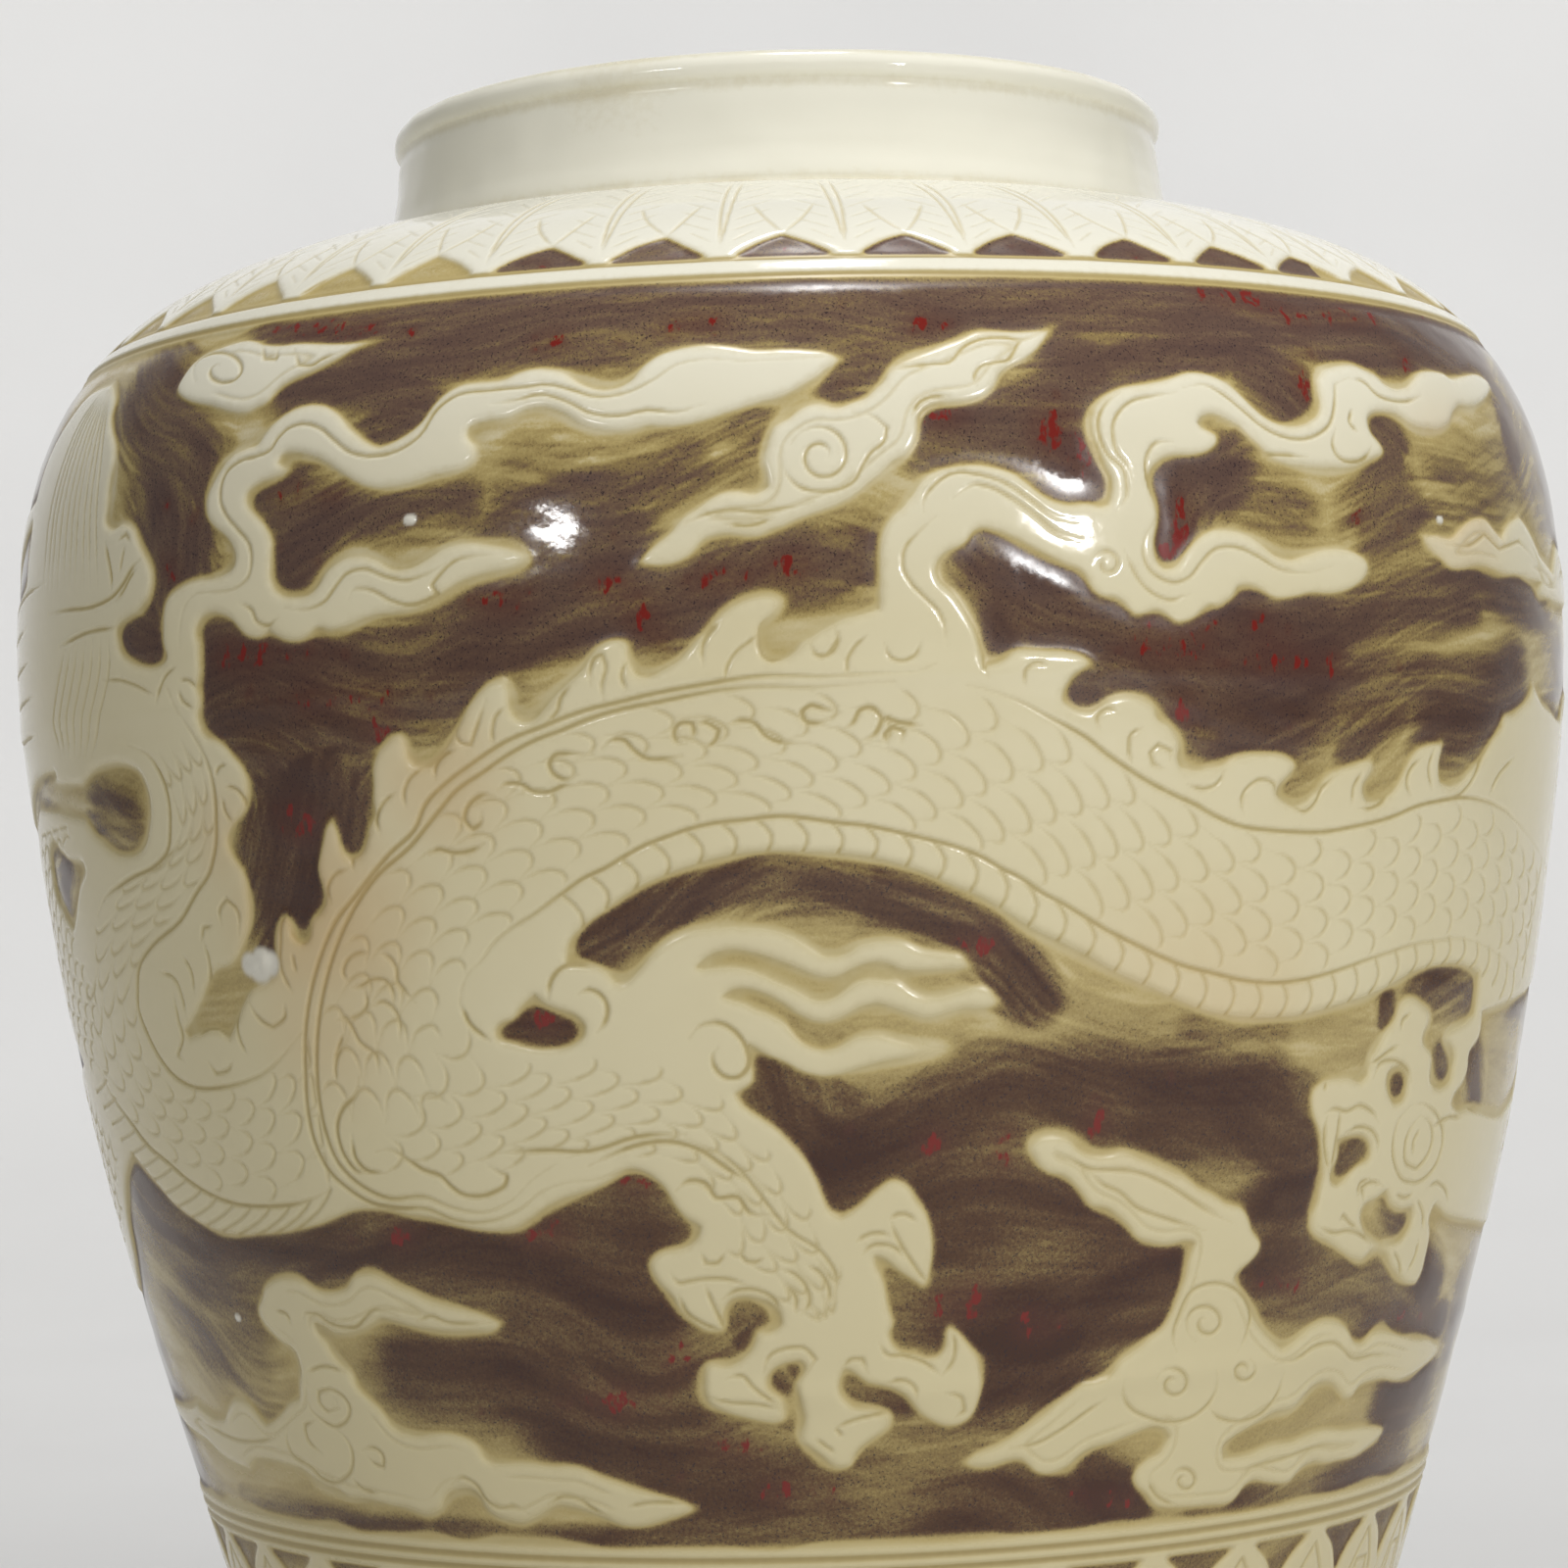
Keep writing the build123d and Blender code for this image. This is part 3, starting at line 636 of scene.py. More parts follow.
# The ways in which the pearl's flames point, and how far round the wall a millimetre is there
FLAME_WAYS = (40, 105, 160, 215, 290)
DEGREES_PER_MM = 0.28
BODY_BEHIND = [
    (58, 272), (66, 273), (76, 275), (90, 281), (104, 287), (118, 289), (131, 282), (143, 266),
    (154, 246), (165, 227), (177, 215), (189, 214), (199, 224), (206, 240), (210, 256),
]
BODY_BEHIND_HALF = [37, 36, 35, 34, 33, 31, 28.5, 25.5, 22, 18.5, 15, 11.5, 8.5, 5.5, 2.5]
HIND_LEG = [
    (72, 208), (78, 212), (83, 222), (85, 236), (84, 252), (103, 262), (103, 244), (99, 226),
    (93, 211), (86, 199), (80, 190), (72, 186), (68, 190), (68, 205),
]
SECOND_FORELEG = [
    (-61, 213), (-66, 203), (-70, 190), (-72.5, 178), (-77, 170), (-82, 168), (-88, 176),
    (-90, 188), (-87, 200), (-82, 212), (-78, 228), (-70, 232),
]


def millimetres(places):
    """Places on the wall laid out flat, to work out a path's sides."""
    places = np.asarray(places, float)
    scale = np.radians(radius_at(places[:, 1]))
    return np.stack([places[:, 0] * scale, places[:, 1]], axis=1), scale


def beside(places, distance):
    """The path that runs at a distance to the left of a path, with one distance for each point."""
    places = np.asarray(places, float)
    flat, scale = millimetres(places)
    way = np.gradient(flat, axis=0)
    way /= np.maximum(np.linalg.norm(way, axis=1, keepdims=True), 1e-6)
    side = np.stack([-way[:, 1], way[:, 0]], axis=1) * np.broadcast_to(distance, len(flat))[:, None]
    return np.stack([places[:, 0] + side[:, 0] / scale, places[:, 1] + side[:, 1]], axis=1)


def ribbon(places, widths):
    """The closed outline round a path with a width that changes along it."""
    path = smooth(places)
    steps = np.linspace(0, 1, len(path))
    half = np.interp(steps, np.linspace(0, 1, len(widths)), widths)
    return np.vstack([beside(path, half), beside(path, -half)[::-1]])


def spiral(centre, outer, inner, turns, start=0.0, squash=1.0):
    """A spiral in pixels of the photograph, wound inwards from its outer radius."""
    steps = np.linspace(0, 1, int(26 * abs(turns)) + 4)
    radius = outer + (inner - outer) * steps
    turned = math.radians(start) + TURN * turns * steps
    across = centre[0] + radius * np.cos(turned)
    down = centre[1] + squash * radius * np.sin(turned)
    return np.stack([across, down], axis=1)


figures = layer()
clouds = layer()
lines = layer()

# The large figure: body, neck and forelegs in front
body_front = np.vstack([
    seen(smooth(GROUND_BETWEEN)),
    seen(smooth(BACK_FINS)),
    [(74, 309), (75, 245)],
    seen(smooth(BELLY_EDGE[2:])),
    seen(smooth(FORELEG)),
    NECK_BEHIND,
    seen([(60, 790), (60, 720), (120, 650), (150, 660)]),
])
paint_shape(figures, body_front)
for closed_outline in [RIBBON_LEFT, RIBBON_RIGHT, MANE_FAN]:
    paint_shape(figures, seen(smooth(closed_outline, closed=True)))
for cloud_outline in [CLOUD_HIGH, CLOUD_MIDDLE, CLOUD_EDGE, CLOUD_LEFT, CLOUD_RIGHT]:
    paint_shape(figures, seen(smooth(cloud_outline, closed=True)))
    paint_shape(clouds, seen(smooth(cloud_outline, closed=True)))
hind_foot = np.vstack([seen(smooth(HIND_FOOT)), [(78, 214), (79, 200)], seen(smooth(HIND_FOOT_BACK))])
paint_shape(figures, hind_foot)
for pocket in [HOLE_EAR, HOLE_COIL, HOLE_NECK, HOLE_ELBOW] + HOLES_FOOT:
    paint_shape(figures, seen(smooth(pocket, closed=True)), erase=True)
gap_by_the_neck = [(95, 800), (60, 801), (30, 798), (30, 822), (60, 830), (95, 840)]
paint_shape(figures, seen(gap_by_the_neck), erase=True)

# Behind: head with its mane, the rest of the body, the legs and the pearl
paint_shape(figures, smooth(HEAD, closed=True))
paint_shape(figures, ribbon(WHISKER, [2.6, 2.2, 1.2]))
paint_shape(figures, ribbon(WHISKER_LOW, [2.4, 2.0, 1.0]))
body_path = smooth(BODY_BEHIND, parts=8)
body_steps = np.linspace(0, 1, len(body_path))
body_half = np.interp(body_steps, np.linspace(0, 1, len(BODY_BEHIND_HALF)), BODY_BEHIND_HALF)
paint_shape(figures, np.vstack([beside(body_path, body_half), beside(body_path, -body_half)[::-1]]))
paint_shape(figures, smooth(HIND_LEG, closed=True))
paint_shape(figures, smooth(SECOND_FORELEG, closed=True))

# Incised lines inside the figures, in pixels of the photograph
CLOUD_LINES = [
    spiral((226, 378), 30, 8, 1.3, start=150, squash=0.75),
    [(268, 352), (270, 366), (282, 366), (284, 356)],
    [(300, 355), (305, 372), (318, 372), (328, 366), (350, 358)],
    spiral((838, 465), 33, 7, 1.5, start=200),
    [(870, 420), (890, 424), (905, 436), (902, 450), (888, 462), (880, 475), (872, 490), (855, 499),
     (835, 501), (815, 496), (803, 484), (798, 468)],
    [(909, 377), (926, 374), (951, 371), (969, 369), (983, 354), (1000, 346), (1023, 344),
     (1046, 346), (1066, 337)],
    [(997, 394), (994, 386), (1000, 374), (1017, 369), (1029, 366), (1040, 349), (1057, 340)],
    [(931, 423), (937, 411), (951, 404), (969, 404)],
    [(700, 533), (722, 524), (745, 520), (775, 522), (800, 518), (830, 512)],
    [(740, 534), (765, 536), (790, 528)],
    [(1201, 1380), (1197, 1366), (1203, 1343), (1217, 1317), (1240, 1309), (1263, 1317),
     (1276, 1337), (1271, 1363), (1263, 1380)],
    spiral((1231, 1350), 22, 5, 1.4, start=120),
    [(1147, 1406), (1146, 1423), (1154, 1437), (1171, 1446), (1191, 1451), (1209, 1449),
     (1229, 1437), (1240, 1420), (1241, 1397)],
    spiral((1197, 1412), 18, 5, 1.3, start=200),
    [(1310, 1400), (1303, 1423), (1286, 1443), (1266, 1450), (1243, 1446), (1234, 1437)],
    spiral((1268, 1398), 13, 4, 1.2, start=300),
    spiral((1209, 1511), 14, 4, 1.3, start=180),
    [(1171, 1511), (1180, 1526), (1200, 1537)],
    [(1075, 1172), (1092, 1182), (1110, 1192), (1135, 1194), (1160, 1196), (1190, 1208),
     (1212, 1222), (1236, 1238), (1258, 1248)],
    [(1110, 1192), (1125, 1208), (1142, 1216), (1160, 1232), (1180, 1240), (1205, 1248),
     (1232, 1256)],
    [(1300, 1392), (1322, 1386), (1345, 1372), (1362, 1370), (1380, 1386), (1402, 1382),
     (1430, 1384)],
    [(1262, 1500), (1285, 1495), (1310, 1488), (1340, 1477), (1372, 1472)],
    [(1030, 1478), (1055, 1474), (1085, 1458), (1110, 1440), (1128, 1428)],
    [(313, 1400), (329, 1394), (351, 1400)],
    [(314, 1420), (317, 1437), (329, 1449), (343, 1456), (354, 1449), (357, 1437), (349, 1423),
     (337, 1417), (326, 1420), (326, 1431), (334, 1440), (346, 1437), (343, 1430)],
    [(294, 1454), (293, 1471), (300, 1486), (317, 1497), (329, 1509), (343, 1513), (357, 1503),
     (360, 1486), (354, 1469), (343, 1458)],
    [(323, 1449), (311, 1454), (314, 1469), (329, 1483)],
    [(369, 1480), (380, 1477), (391, 1486), (391, 1497), (383, 1494), (374, 1486)],
    [(360, 1509), (371, 1520), (386, 1524)],
    [(280, 1337), (291, 1340), (297, 1351)],
    [(309, 1346), (311, 1340), (323, 1341), (334, 1349), (349, 1354), (363, 1354), (371, 1346),
     (380, 1337), (391, 1337), (406, 1343)],
    [(425, 1349), (438, 1343), (455, 1349), (500, 1350)],
    [(460, 1515), (470, 1508), (485, 1515), (497, 1532), (510, 1539), (525, 1537), (540, 1545)],
    [(560, 1535), (572, 1528), (590, 1530), (605, 1540), (620, 1548)],
    [(640, 1538), (660, 1534), (700, 1535)],
    [(205, 1450), (225, 1462), (245, 1470), (268, 1470), (285, 1466)],
    [(1475, 556), (1500, 556), (1515, 545), (1530, 560), (1550, 552), (1565, 570)],
]
RIBBON_LINES = [
    [(183, 660), (184, 640), (188, 620), (200, 606), (220, 604), (240, 600), (252, 590), (256, 572),
     (254, 556), (243, 541), (232, 528), (225, 513), (225, 497), (232, 480), (245, 470), (262, 465),
     (275, 459), (283, 447), (295, 436), (310, 432), (325, 436), (340, 448), (355, 460), (375, 465),
     (395, 463), (412, 456), (428, 444), (446, 417), (466, 403), (500, 398), (530, 395), (560, 392),
     (585, 398), (605, 404), (640, 400), (665, 388), (690, 372), (720, 366), (760, 368), (800, 366),
     (840, 364)],
    [(355, 612), (360, 602), (375, 601), (400, 613), (417, 617), (437, 611), (446, 606), (440, 597),
     (446, 589), (466, 571), (486, 567), (520, 566)],
    [(290, 620), (310, 622), (330, 614), (342, 598), (352, 586), (370, 580), (392, 588), (412, 592),
     (434, 586), (455, 574)],
    [(500, 412), (525, 408), (552, 402), (580, 410), (600, 420), (630, 424), (660, 418), (690, 420),
     (720, 412)],
    [(244, 615), (256, 622), (262, 634), (272, 638), (284, 630)],
    [(956, 526), (937, 543), (923, 560), (921, 577), (929, 594), (943, 609), (957, 623), (964, 640),
     (966, 660)],
    [(943, 523), (943, 509), (954, 494), (971, 483), (1000, 484), (1023, 491), (1050, 508),
     (1075, 526), (1100, 532)],
    [(971, 509), (994, 494), (1011, 497), (1029, 506), (1055, 524), (1080, 544), (1105, 552)],
    [(1143, 400), (1129, 411), (1121, 429), (1123, 446), (1131, 463), (1146, 477), (1150, 491),
     (1149, 509), (1140, 521)],
    [(1200, 400), (1180, 403), (1151, 411), (1137, 429), (1136, 446), (1140, 460), (1151, 474),
     (1156, 489)],
    [(1197, 451), (1180, 451), (1171, 463), (1169, 477), (1174, 497), (1179, 514)],
    [(1180, 529), (1171, 543), (1167, 560), (1171, 577), (1183, 589), (1200, 594), (1215, 588),
     (1226, 574), (1240, 560), (1262, 558), (1285, 568), (1305, 580), (1330, 584), (1360, 578)],
    spiral((1130, 575), 15, 4, 1.2, start=180),
    [(1148, 560), (1158, 584), (1172, 602), (1195, 612), (1215, 606)],
    [(1377, 386), (1391, 389), (1406, 403), (1423, 409), (1437, 409), (1451, 403)],
    [(1380, 417), (1377, 430), (1386, 441)],
    [(1363, 437), (1360, 454), (1366, 466), (1380, 471), (1394, 466), (1400, 454)],
    [(1206, 396), (1228, 392), (1248, 402), (1268, 418), (1290, 436), (1312, 446), (1338, 446),
     (1356, 434), (1362, 412), (1362, 392), (1378, 384)],
    [(1250, 436), (1268, 450), (1288, 462), (1312, 464), (1335, 466)],
]
BODY_LINES = [
    [(171, 703), (180, 722), (197, 750), (210, 774), (216, 794), (219, 814), (220, 837), (220, 857),
     (217, 877), (213, 891), (200, 911), (183, 940), (154, 966), (143, 983), (140, 1011),
     (141, 1029), (151, 1057), (163, 1080), (180, 1100), (200, 1110), (223, 1110), (243, 1106),
     (266, 1097), (286, 1080), (300, 1063), (311, 1050)],
    [(100, 1086), (114, 1117), (134, 1146), (151, 1169), (171, 1186), (194, 1206), (217, 1220),
     (243, 1229), (271, 1231), (300, 1229), (320, 1223), (337, 1214)],
    [(129, 760), (149, 769), (163, 789), (171, 814), (173, 843), (169, 871), (154, 886), (137, 894),
     (123, 903), (109, 914), (100, 934)],
    [(640, 1194), (605, 1204), (578, 1207), (553, 1216), (529, 1235), (501, 1246), (467, 1246),
     (432, 1233), (408, 1233), (380, 1228), (356, 1214), (335, 1194), (321, 1166), (314, 1135),
     (311, 1090), (311, 1055), (318, 1006), (328, 972), (342, 940), (363, 913), (397, 871),
     (422, 847), (434, 820), (457, 797), (480, 780),
     (500, 766), (523, 753), (549, 743), (571, 734), (600, 724), (629, 717), (657, 710), (686, 704),
     (714, 699), (743, 694), (771, 690), (800, 689), (829, 690), (857, 689), (886, 687), (914, 686),
     (937, 684), (955, 677)],
    [(567, 1188), (543, 1204), (522, 1225), (494, 1237), (460, 1232), (432, 1221), (397, 1223),
     (370, 1211), (345, 1187), (331, 1152), (324, 1110), (323, 1062), (328, 1020), (342, 968),
     (359, 930), (383, 895), (418, 864), (443, 833), (466, 806), (491, 789), (520, 769), (549, 754),
     (571, 746), (600, 734), (634, 724), (669, 717), (703, 710), (737, 704), (771, 701),
     (829, 701), (857, 699), (886, 697), (914, 695)],
    [(986, 699), (1006, 703), (1029, 711), (1049, 720), (1069, 731), (1086, 740), (1109, 753),
     (1129, 769), (1149, 783), (1171, 797), (1200, 812), (1220, 821), (1243, 834), (1266, 843),
     (1294, 847), (1323, 849), (1351, 849), (1380, 844), (1403, 839), (1423, 833), (1446, 823),
     (1471, 817), (1494, 814), (1514, 817), (1534, 826), (1551, 843), (1566, 863), (1578, 888)],
    [(469, 1026), (471, 1009), (480, 991), (491, 980), (503, 963), (523, 946), (543, 934),
     (554, 926), (577, 909), (594, 897), (617, 886), (637, 874), (657, 863), (680, 854), (703, 846),
     (729, 840), (757, 837), (794, 833), (857, 840), (886, 843), (914, 849), (943, 856), (971, 863),
     (1000, 874), (1023, 887), (1043, 897), (1063, 911), (1086, 923), (1109, 937), (1129, 949),
     (1157, 963), (1186, 977), (1209, 986), (1237, 993), (1266, 1000), (1294, 1003), (1329, 1000),
     (1363, 991), (1391, 981), (1420, 971), (1446, 963), (1466, 960), (1489, 957), (1511, 963),
     (1529, 974), (1545, 992)],
    [(590, 790), (576, 795), (565, 790), (560, 780), (565, 771), (580, 769), (606, 770)],
    [(614, 764), (625, 755), (636, 755), (646, 765), (660, 774), (680, 774), (696, 771)],
    [(700, 760), (690, 756), (688, 745), (694, 738), (706, 738), (708, 748), (702, 756)],
    [(708, 737), (722, 738), (733, 745), (728, 758), (716, 762)],
    [(740, 740), (755, 735), (770, 738), (780, 750), (795, 757), (820, 758)],
    [(848, 733), (834, 738), (821, 735), (818, 726), (826, 720), (840, 723), (858, 727)],
    [(858, 745), (870, 738), (878, 724), (890, 722), (900, 734), (892, 750), (878, 756)],
    [(900, 730), (914, 736), (940, 740)], [(906, 760), (903, 750), (911, 742), (922, 746), (920, 757)],
    [(505, 813), (494, 811), (482, 817), (475, 827), (474, 837), (482, 846), (490, 840), (491, 829)],
    [(508, 805), (516, 800), (530, 800), (545, 808), (560, 808), (575, 802), (590, 801)],
    [(438, 872), (446, 867), (460, 870), (480, 868), (494, 861)],
    [(560, 1020), (561, 1003), (571, 989), (589, 984), (606, 989)],
    [(590, 1014), (600, 1010), (611, 1014), (619, 1026), (617, 1043), (609, 1054)],
    [(703, 1060), (714, 1047), (734, 1044), (751, 1054), (761, 1069), (764, 1086), (754, 1099),
     (740, 1099), (729, 1089), (727, 1077), (733, 1069)],
    [(500, 1177), (560, 1174), (600, 1175), (650, 1160), (700, 1157)],
    [(600, 1190), (640, 1172), (680, 1165), (710, 1172), (745, 1195), (770, 1210)],
    [(366, 1100), (362, 1118), (350, 1130), (344, 1146), (346, 1166), (354, 1184), (366, 1196),
     (374, 1196)],
    [(383, 1176), (397, 1173), (415, 1183), (432, 1194), (449, 1200), (460, 1211), (470, 1218),
     (487, 1221), (505, 1216), (515, 1209), (517, 1200), (505, 1194), (498, 1190)],
    [(359, 1159), (363, 1183), (373, 1194), (394, 1197)],
    [(470, 1026), (480, 1046), (500, 1062)],
    [(690, 1215), (700, 1206), (720, 1208), (730, 1222), (752, 1222), (765, 1238), (790, 1240)],
    [(49, 627), (66, 623), (94, 619), (114, 609), (126, 594), (134, 580), (143, 571)],
    [(60, 660), (90, 645), (119, 640)],
    [(107, 553), (110, 569), (113, 586), (114, 601)],
]
FOOT_LINES_FRONT = [
    [(699, 1161), (743, 1183), (782, 1228), (804, 1255), (838, 1278), (854, 1305), (849, 1328)],
    [(908, 1244), (916, 1264), (928, 1284), (939, 1300), (947, 1309)],
    [(908, 1244), (916, 1239), (926, 1240), (936, 1247)],
    [(874, 1267), (883, 1261), (897, 1258), (908, 1261)],
    [(880, 1281), (888, 1272), (902, 1270), (914, 1274), (922, 1284)],
    [(796, 1295), (810, 1300), (822, 1312), (826, 1330), (818, 1342)],
    [(822, 1290), (838, 1300), (846, 1316), (846, 1332)],
    [(800, 1310), (812, 1324), (812, 1340)],
    [(684, 1300), (692, 1309), (706, 1307), (720, 1305), (746, 1306), (768, 1314)],
    [(720, 1312), (726, 1328), (734, 1345), (740, 1359)],
    [(692, 1320), (701, 1340), (718, 1351), (737, 1359)],
    [(737, 1326), (751, 1317), (774, 1317), (790, 1326), (797, 1340)],
    [(715, 1278), (720, 1289), (732, 1289), (740, 1278)],
    [(754, 1275), (760, 1286), (771, 1288), (779, 1284)],
    [(779, 1401), (785, 1384), (802, 1376), (821, 1376), (832, 1387), (824, 1401)],
    [(860, 1396), (869, 1387), (880, 1387), (886, 1401)],
    [(905, 1412), (919, 1408), (933, 1415), (936, 1426)],
    [(723, 1426), (746, 1431), (774, 1433), (796, 1438)],
    [(740, 1407), (757, 1404), (768, 1415), (782, 1426), (796, 1435)],
    [(852, 1457), (869, 1450), (888, 1445), (908, 1442)],
    [(852, 1457), (860, 1466)],
    [(832, 1468), (844, 1477), (852, 1482)],
    [(961, 1404), (972, 1390), (975, 1373), (972, 1359)],
    [(964, 1421), (981, 1426), (984, 1440), (975, 1446)],
    [(897, 1370), (905, 1382), (922, 1384), (947, 1393), (961, 1404)],
    [(1440, 1128), (1428, 1142), (1422, 1164), (1423, 1186), (1432, 1204), (1446, 1206), (1460, 1196),
     (1470, 1176), (1472, 1152), (1464, 1134), (1452, 1126), (1440, 1128)],
    [(1450, 1138), (1440, 1150), (1434, 1170), (1436, 1188), (1446, 1192), (1456, 1180), (1462, 1160),
     (1458, 1144), (1450, 1138)],
    [(1449, 1152), (1443, 1164), (1442, 1178)],
    [(1399, 1086), (1408, 1080), (1418, 1072), (1428, 1066)],
    [(1402, 1100), (1410, 1084), (1424, 1082), (1436, 1090), (1441, 1104)],
    [(1352, 1112), (1354, 1106)],
    [(1354, 1140), (1352, 1158), (1354, 1182), (1357, 1196)],
    [(1368, 1132), (1366, 1150), (1362, 1176), (1358, 1196)],
    [(1352, 1136), (1362, 1131), (1374, 1134), (1388, 1128), (1400, 1134), (1408, 1146)],
    [(1374, 1156), (1386, 1150), (1398, 1152), (1406, 1162), (1406, 1176)],
    [(1392, 1228), (1390, 1212), (1400, 1206), (1412, 1210)],
    [(1386, 1220), (1388, 1208), (1398, 1202)],
    [(1367, 1246), (1371, 1240), (1378, 1248), (1386, 1254)],
    [(1345, 1250), (1360, 1258), (1378, 1256), (1392, 1262), (1398, 1268)],
    [(1424, 1218), (1434, 1222), (1442, 1218)], [(1446, 1222), (1452, 1238), (1452, 1254)],
    [(1456, 1212), (1466, 1206), (1474, 1212), (1477, 1228)],
    [(1422, 1276), (1428, 1288), (1430, 1302)], [(1448, 1264), (1444, 1282), (1436, 1298)],
    [(1430, 1050), (1432, 1040), (1440, 1034)],
    [(1462, 1150), (1478, 1140), (1492, 1140)], [(1486, 1112), (1494, 1126), (1510, 1138)],
]
FIN_CURLS = [
    [(177, 1013), (181, 1038), (186, 1062), (181, 1076), (188, 1083)],
    [(162, 992), (175, 996), (186, 1020), (189, 1034)], [(186, 975), (194, 989), (198, 1013)],
    [(205, 961), (207, 947), (217, 944)], [(208, 961), (214, 986), (212, 1010)],
    [(226, 944), (224, 927), (231, 918), (241, 927), (244, 954)],
    [(224, 992), (226, 1027), (231, 1048)], [(201, 1058), (210, 1051), (224, 1051), (234, 1062)],
    [(212, 1083), (220, 1095), (231, 1093), (238, 1083)],
    [(246, 1020), (241, 1044), (245, 1062), (252, 1076)],
    [(252, 1020), (266, 1041), (278, 1048), (290, 1038), (290, 1024)],
    [(297, 925), (288, 937), (286, 961), (286, 986), (293, 1003), (299, 1013)],
    [(295, 947), (300, 958), (309, 963), (318, 954)], [(298, 973), (302, 992)],
    [(356, 1003), (350, 992), (354, 980), (366, 972), (376, 972)],
    [(358, 1008), (368, 1006), (378, 1000), (392, 1000), (400, 1010), (402, 1026)],
    [(386, 972), (396, 976), (404, 988), (405, 1000), (412, 1010), (424, 1024)],
    [(378, 1028), (390, 1022), (402, 1030), (408, 1044), (408, 1060)],
    [(352, 1040), (366, 1036), (374, 1026), (372, 1008)],
    [(343, 1042), (352, 1038), (360, 1050), (366, 1062), (384, 1078), (386, 1096)],
    [(340, 1085), (346, 1066), (350, 1056)], [(344, 1105), (342, 1092), (344, 1078), (352, 1064)],
    [(127, 558), (124, 572), (122, 584)], [(139, 580), (132, 590), (126, 602), (118, 614)],
    [(120, 552), (128, 545), (133, 552)],
    [(160, 718), (164, 700), (170, 688), (180, 680)], [(183, 694), (192, 694), (200, 702)],
    [(182, 704), (188, 716), (198, 722)], [(104, 694), (122, 694), (140, 700), (158, 710)],
    [(220, 791), (223, 783), (231, 780)],
    [(229, 803), (237, 803), (249, 817), (251, 826)], [(227, 814), (229, 826), (237, 840)],
    [(829, 668), (840, 670), (850, 660), (857, 645)],
    [(318, 955), (312, 942), (316, 928), (328, 920)], [(338, 922), (334, 906), (342, 892), (356, 886)],
    [(362, 890), (358, 874), (366, 858), (380, 850)], [(388, 852), (384, 836), (392, 818), (404, 808)],
    [(414, 824), (412, 808), (420, 792), (432, 784)], [(444, 796), (444, 782), (454, 770), (464, 766)],
    [(462, 745), (470, 758), (480, 760), (486, 742), (496, 714)],
    [(503, 760), (502, 745), (506, 730), (514, 722)],
    [(556, 738), (568, 726), (572, 712), (582, 700)],
    [(604, 700), (602, 685), (606, 672), (614, 668), (618, 680), (614, 700), (616, 715)],
    [(640, 704), (634, 690), (638, 676)], [(718, 680), (717, 660), (724, 645), (735, 635)],
    [(740, 700), (742, 680), (752, 664), (764, 655), (772, 648)],
    [(790, 628), (778, 636), (774, 650), (777, 668), (788, 674), (800, 668), (806, 655)],
    [(826, 655), (832, 668), (845, 668), (855, 655), (852, 640)],
    [(865, 690), (864, 675), (872, 660), (885, 648)],
    [(903, 656), (908, 670), (920, 674), (934, 668), (940, 654)],
    [(1008, 690), (1004, 676), (1014, 664), (1030, 662)],
    [(1046, 700), (1046, 684), (1058, 676), (1070, 680)],
    [(1122, 744), (1120, 732), (1130, 724), (1142, 726)],
    [(1155, 778), (1152, 762), (1154, 750), (1166, 742)],
    [(1190, 784), (1178, 780), (1174, 768), (1182, 760), (1195, 766), (1194, 776)],
    [(1212, 800), (1228, 805), (1242, 800), (1250, 786)],
    [(1270, 832), (1267, 815), (1275, 802), (1288, 795), (1300, 800), (1302, 812)],
    [(1318, 822), (1332, 828), (1342, 820), (1350, 805), (1365, 790)],
    [(1380, 820), (1382, 802), (1390, 788)],
    [(1386, 824), (1399, 825), (1412, 818), (1420, 800), (1430, 780)],
    [(1440, 812), (1436, 800), (1440, 785), (1452, 772)], [(1462, 806), (1458, 784), (1464, 764)],
    [(1472, 814), (1488, 812), (1500, 800), (1515, 770), (1530, 745)],
    [(1520, 810), (1530, 790), (1546, 772)],
]
MANE_LEFT = [(106, 396), (80, 430), (62, 470), (48, 520), (42, 570), (40, 600)]
MANE_RIGHT = [(113, 400), (110, 430), (108, 470), (105, 520), (106, 560), (108, 600)]
LOCK_LEFT = [(60, 665), (52, 700), (50, 740), (58, 770)]
LOCK_RIGHT = [(120, 646), (123, 677), (117, 714), (109, 749), (100, 774)]
BACK_LINE = [
    (326, 1143), (324, 1086), (326, 1029), (342, 980), (378, 908), (423, 849), (466, 806),
    (520, 769), (571, 746), (634, 724), (703, 710), (771, 701), (857, 699), (914, 695), (950, 696),
    (1006, 703), (1049, 720), (1086, 740), (1129, 769), (1171, 797), (1220, 821), (1266, 843),
    (1323, 849), (1380, 844), (1423, 833), (1471, 817), (1514, 817), (1551, 843), (1574, 872),
]
BELLY_LINE = [
    (470, 1150), (455, 1110), (450, 1070), (469, 1026), (480, 991), (503, 963), (543, 934),
    (594, 897), (657, 863), (703, 846), (757, 837), (810, 834), (857, 840), (900, 846), (943, 856),
    (1000, 874), (1043, 897), (1086, 923), (1129, 949), (1186, 977), (1237, 993), (1294, 1003),
    (1363, 991), (1420, 971), (1466, 960), (1500, 958), (1520, 966), (1536, 984), (1552, 1004),
]
LOWER_EDGE = [
    (578, 983), (600, 943), (643, 911), (700, 886), (757, 871), (829, 870), (886, 874), (943, 890),
    (1000, 914), (1057, 949), (1114, 977), (1171, 1006), (1223, 1029), (1294, 1039), (1366, 1026),
    (1429, 1000), (1489, 984), (1520, 1000), (1537, 1031),
]
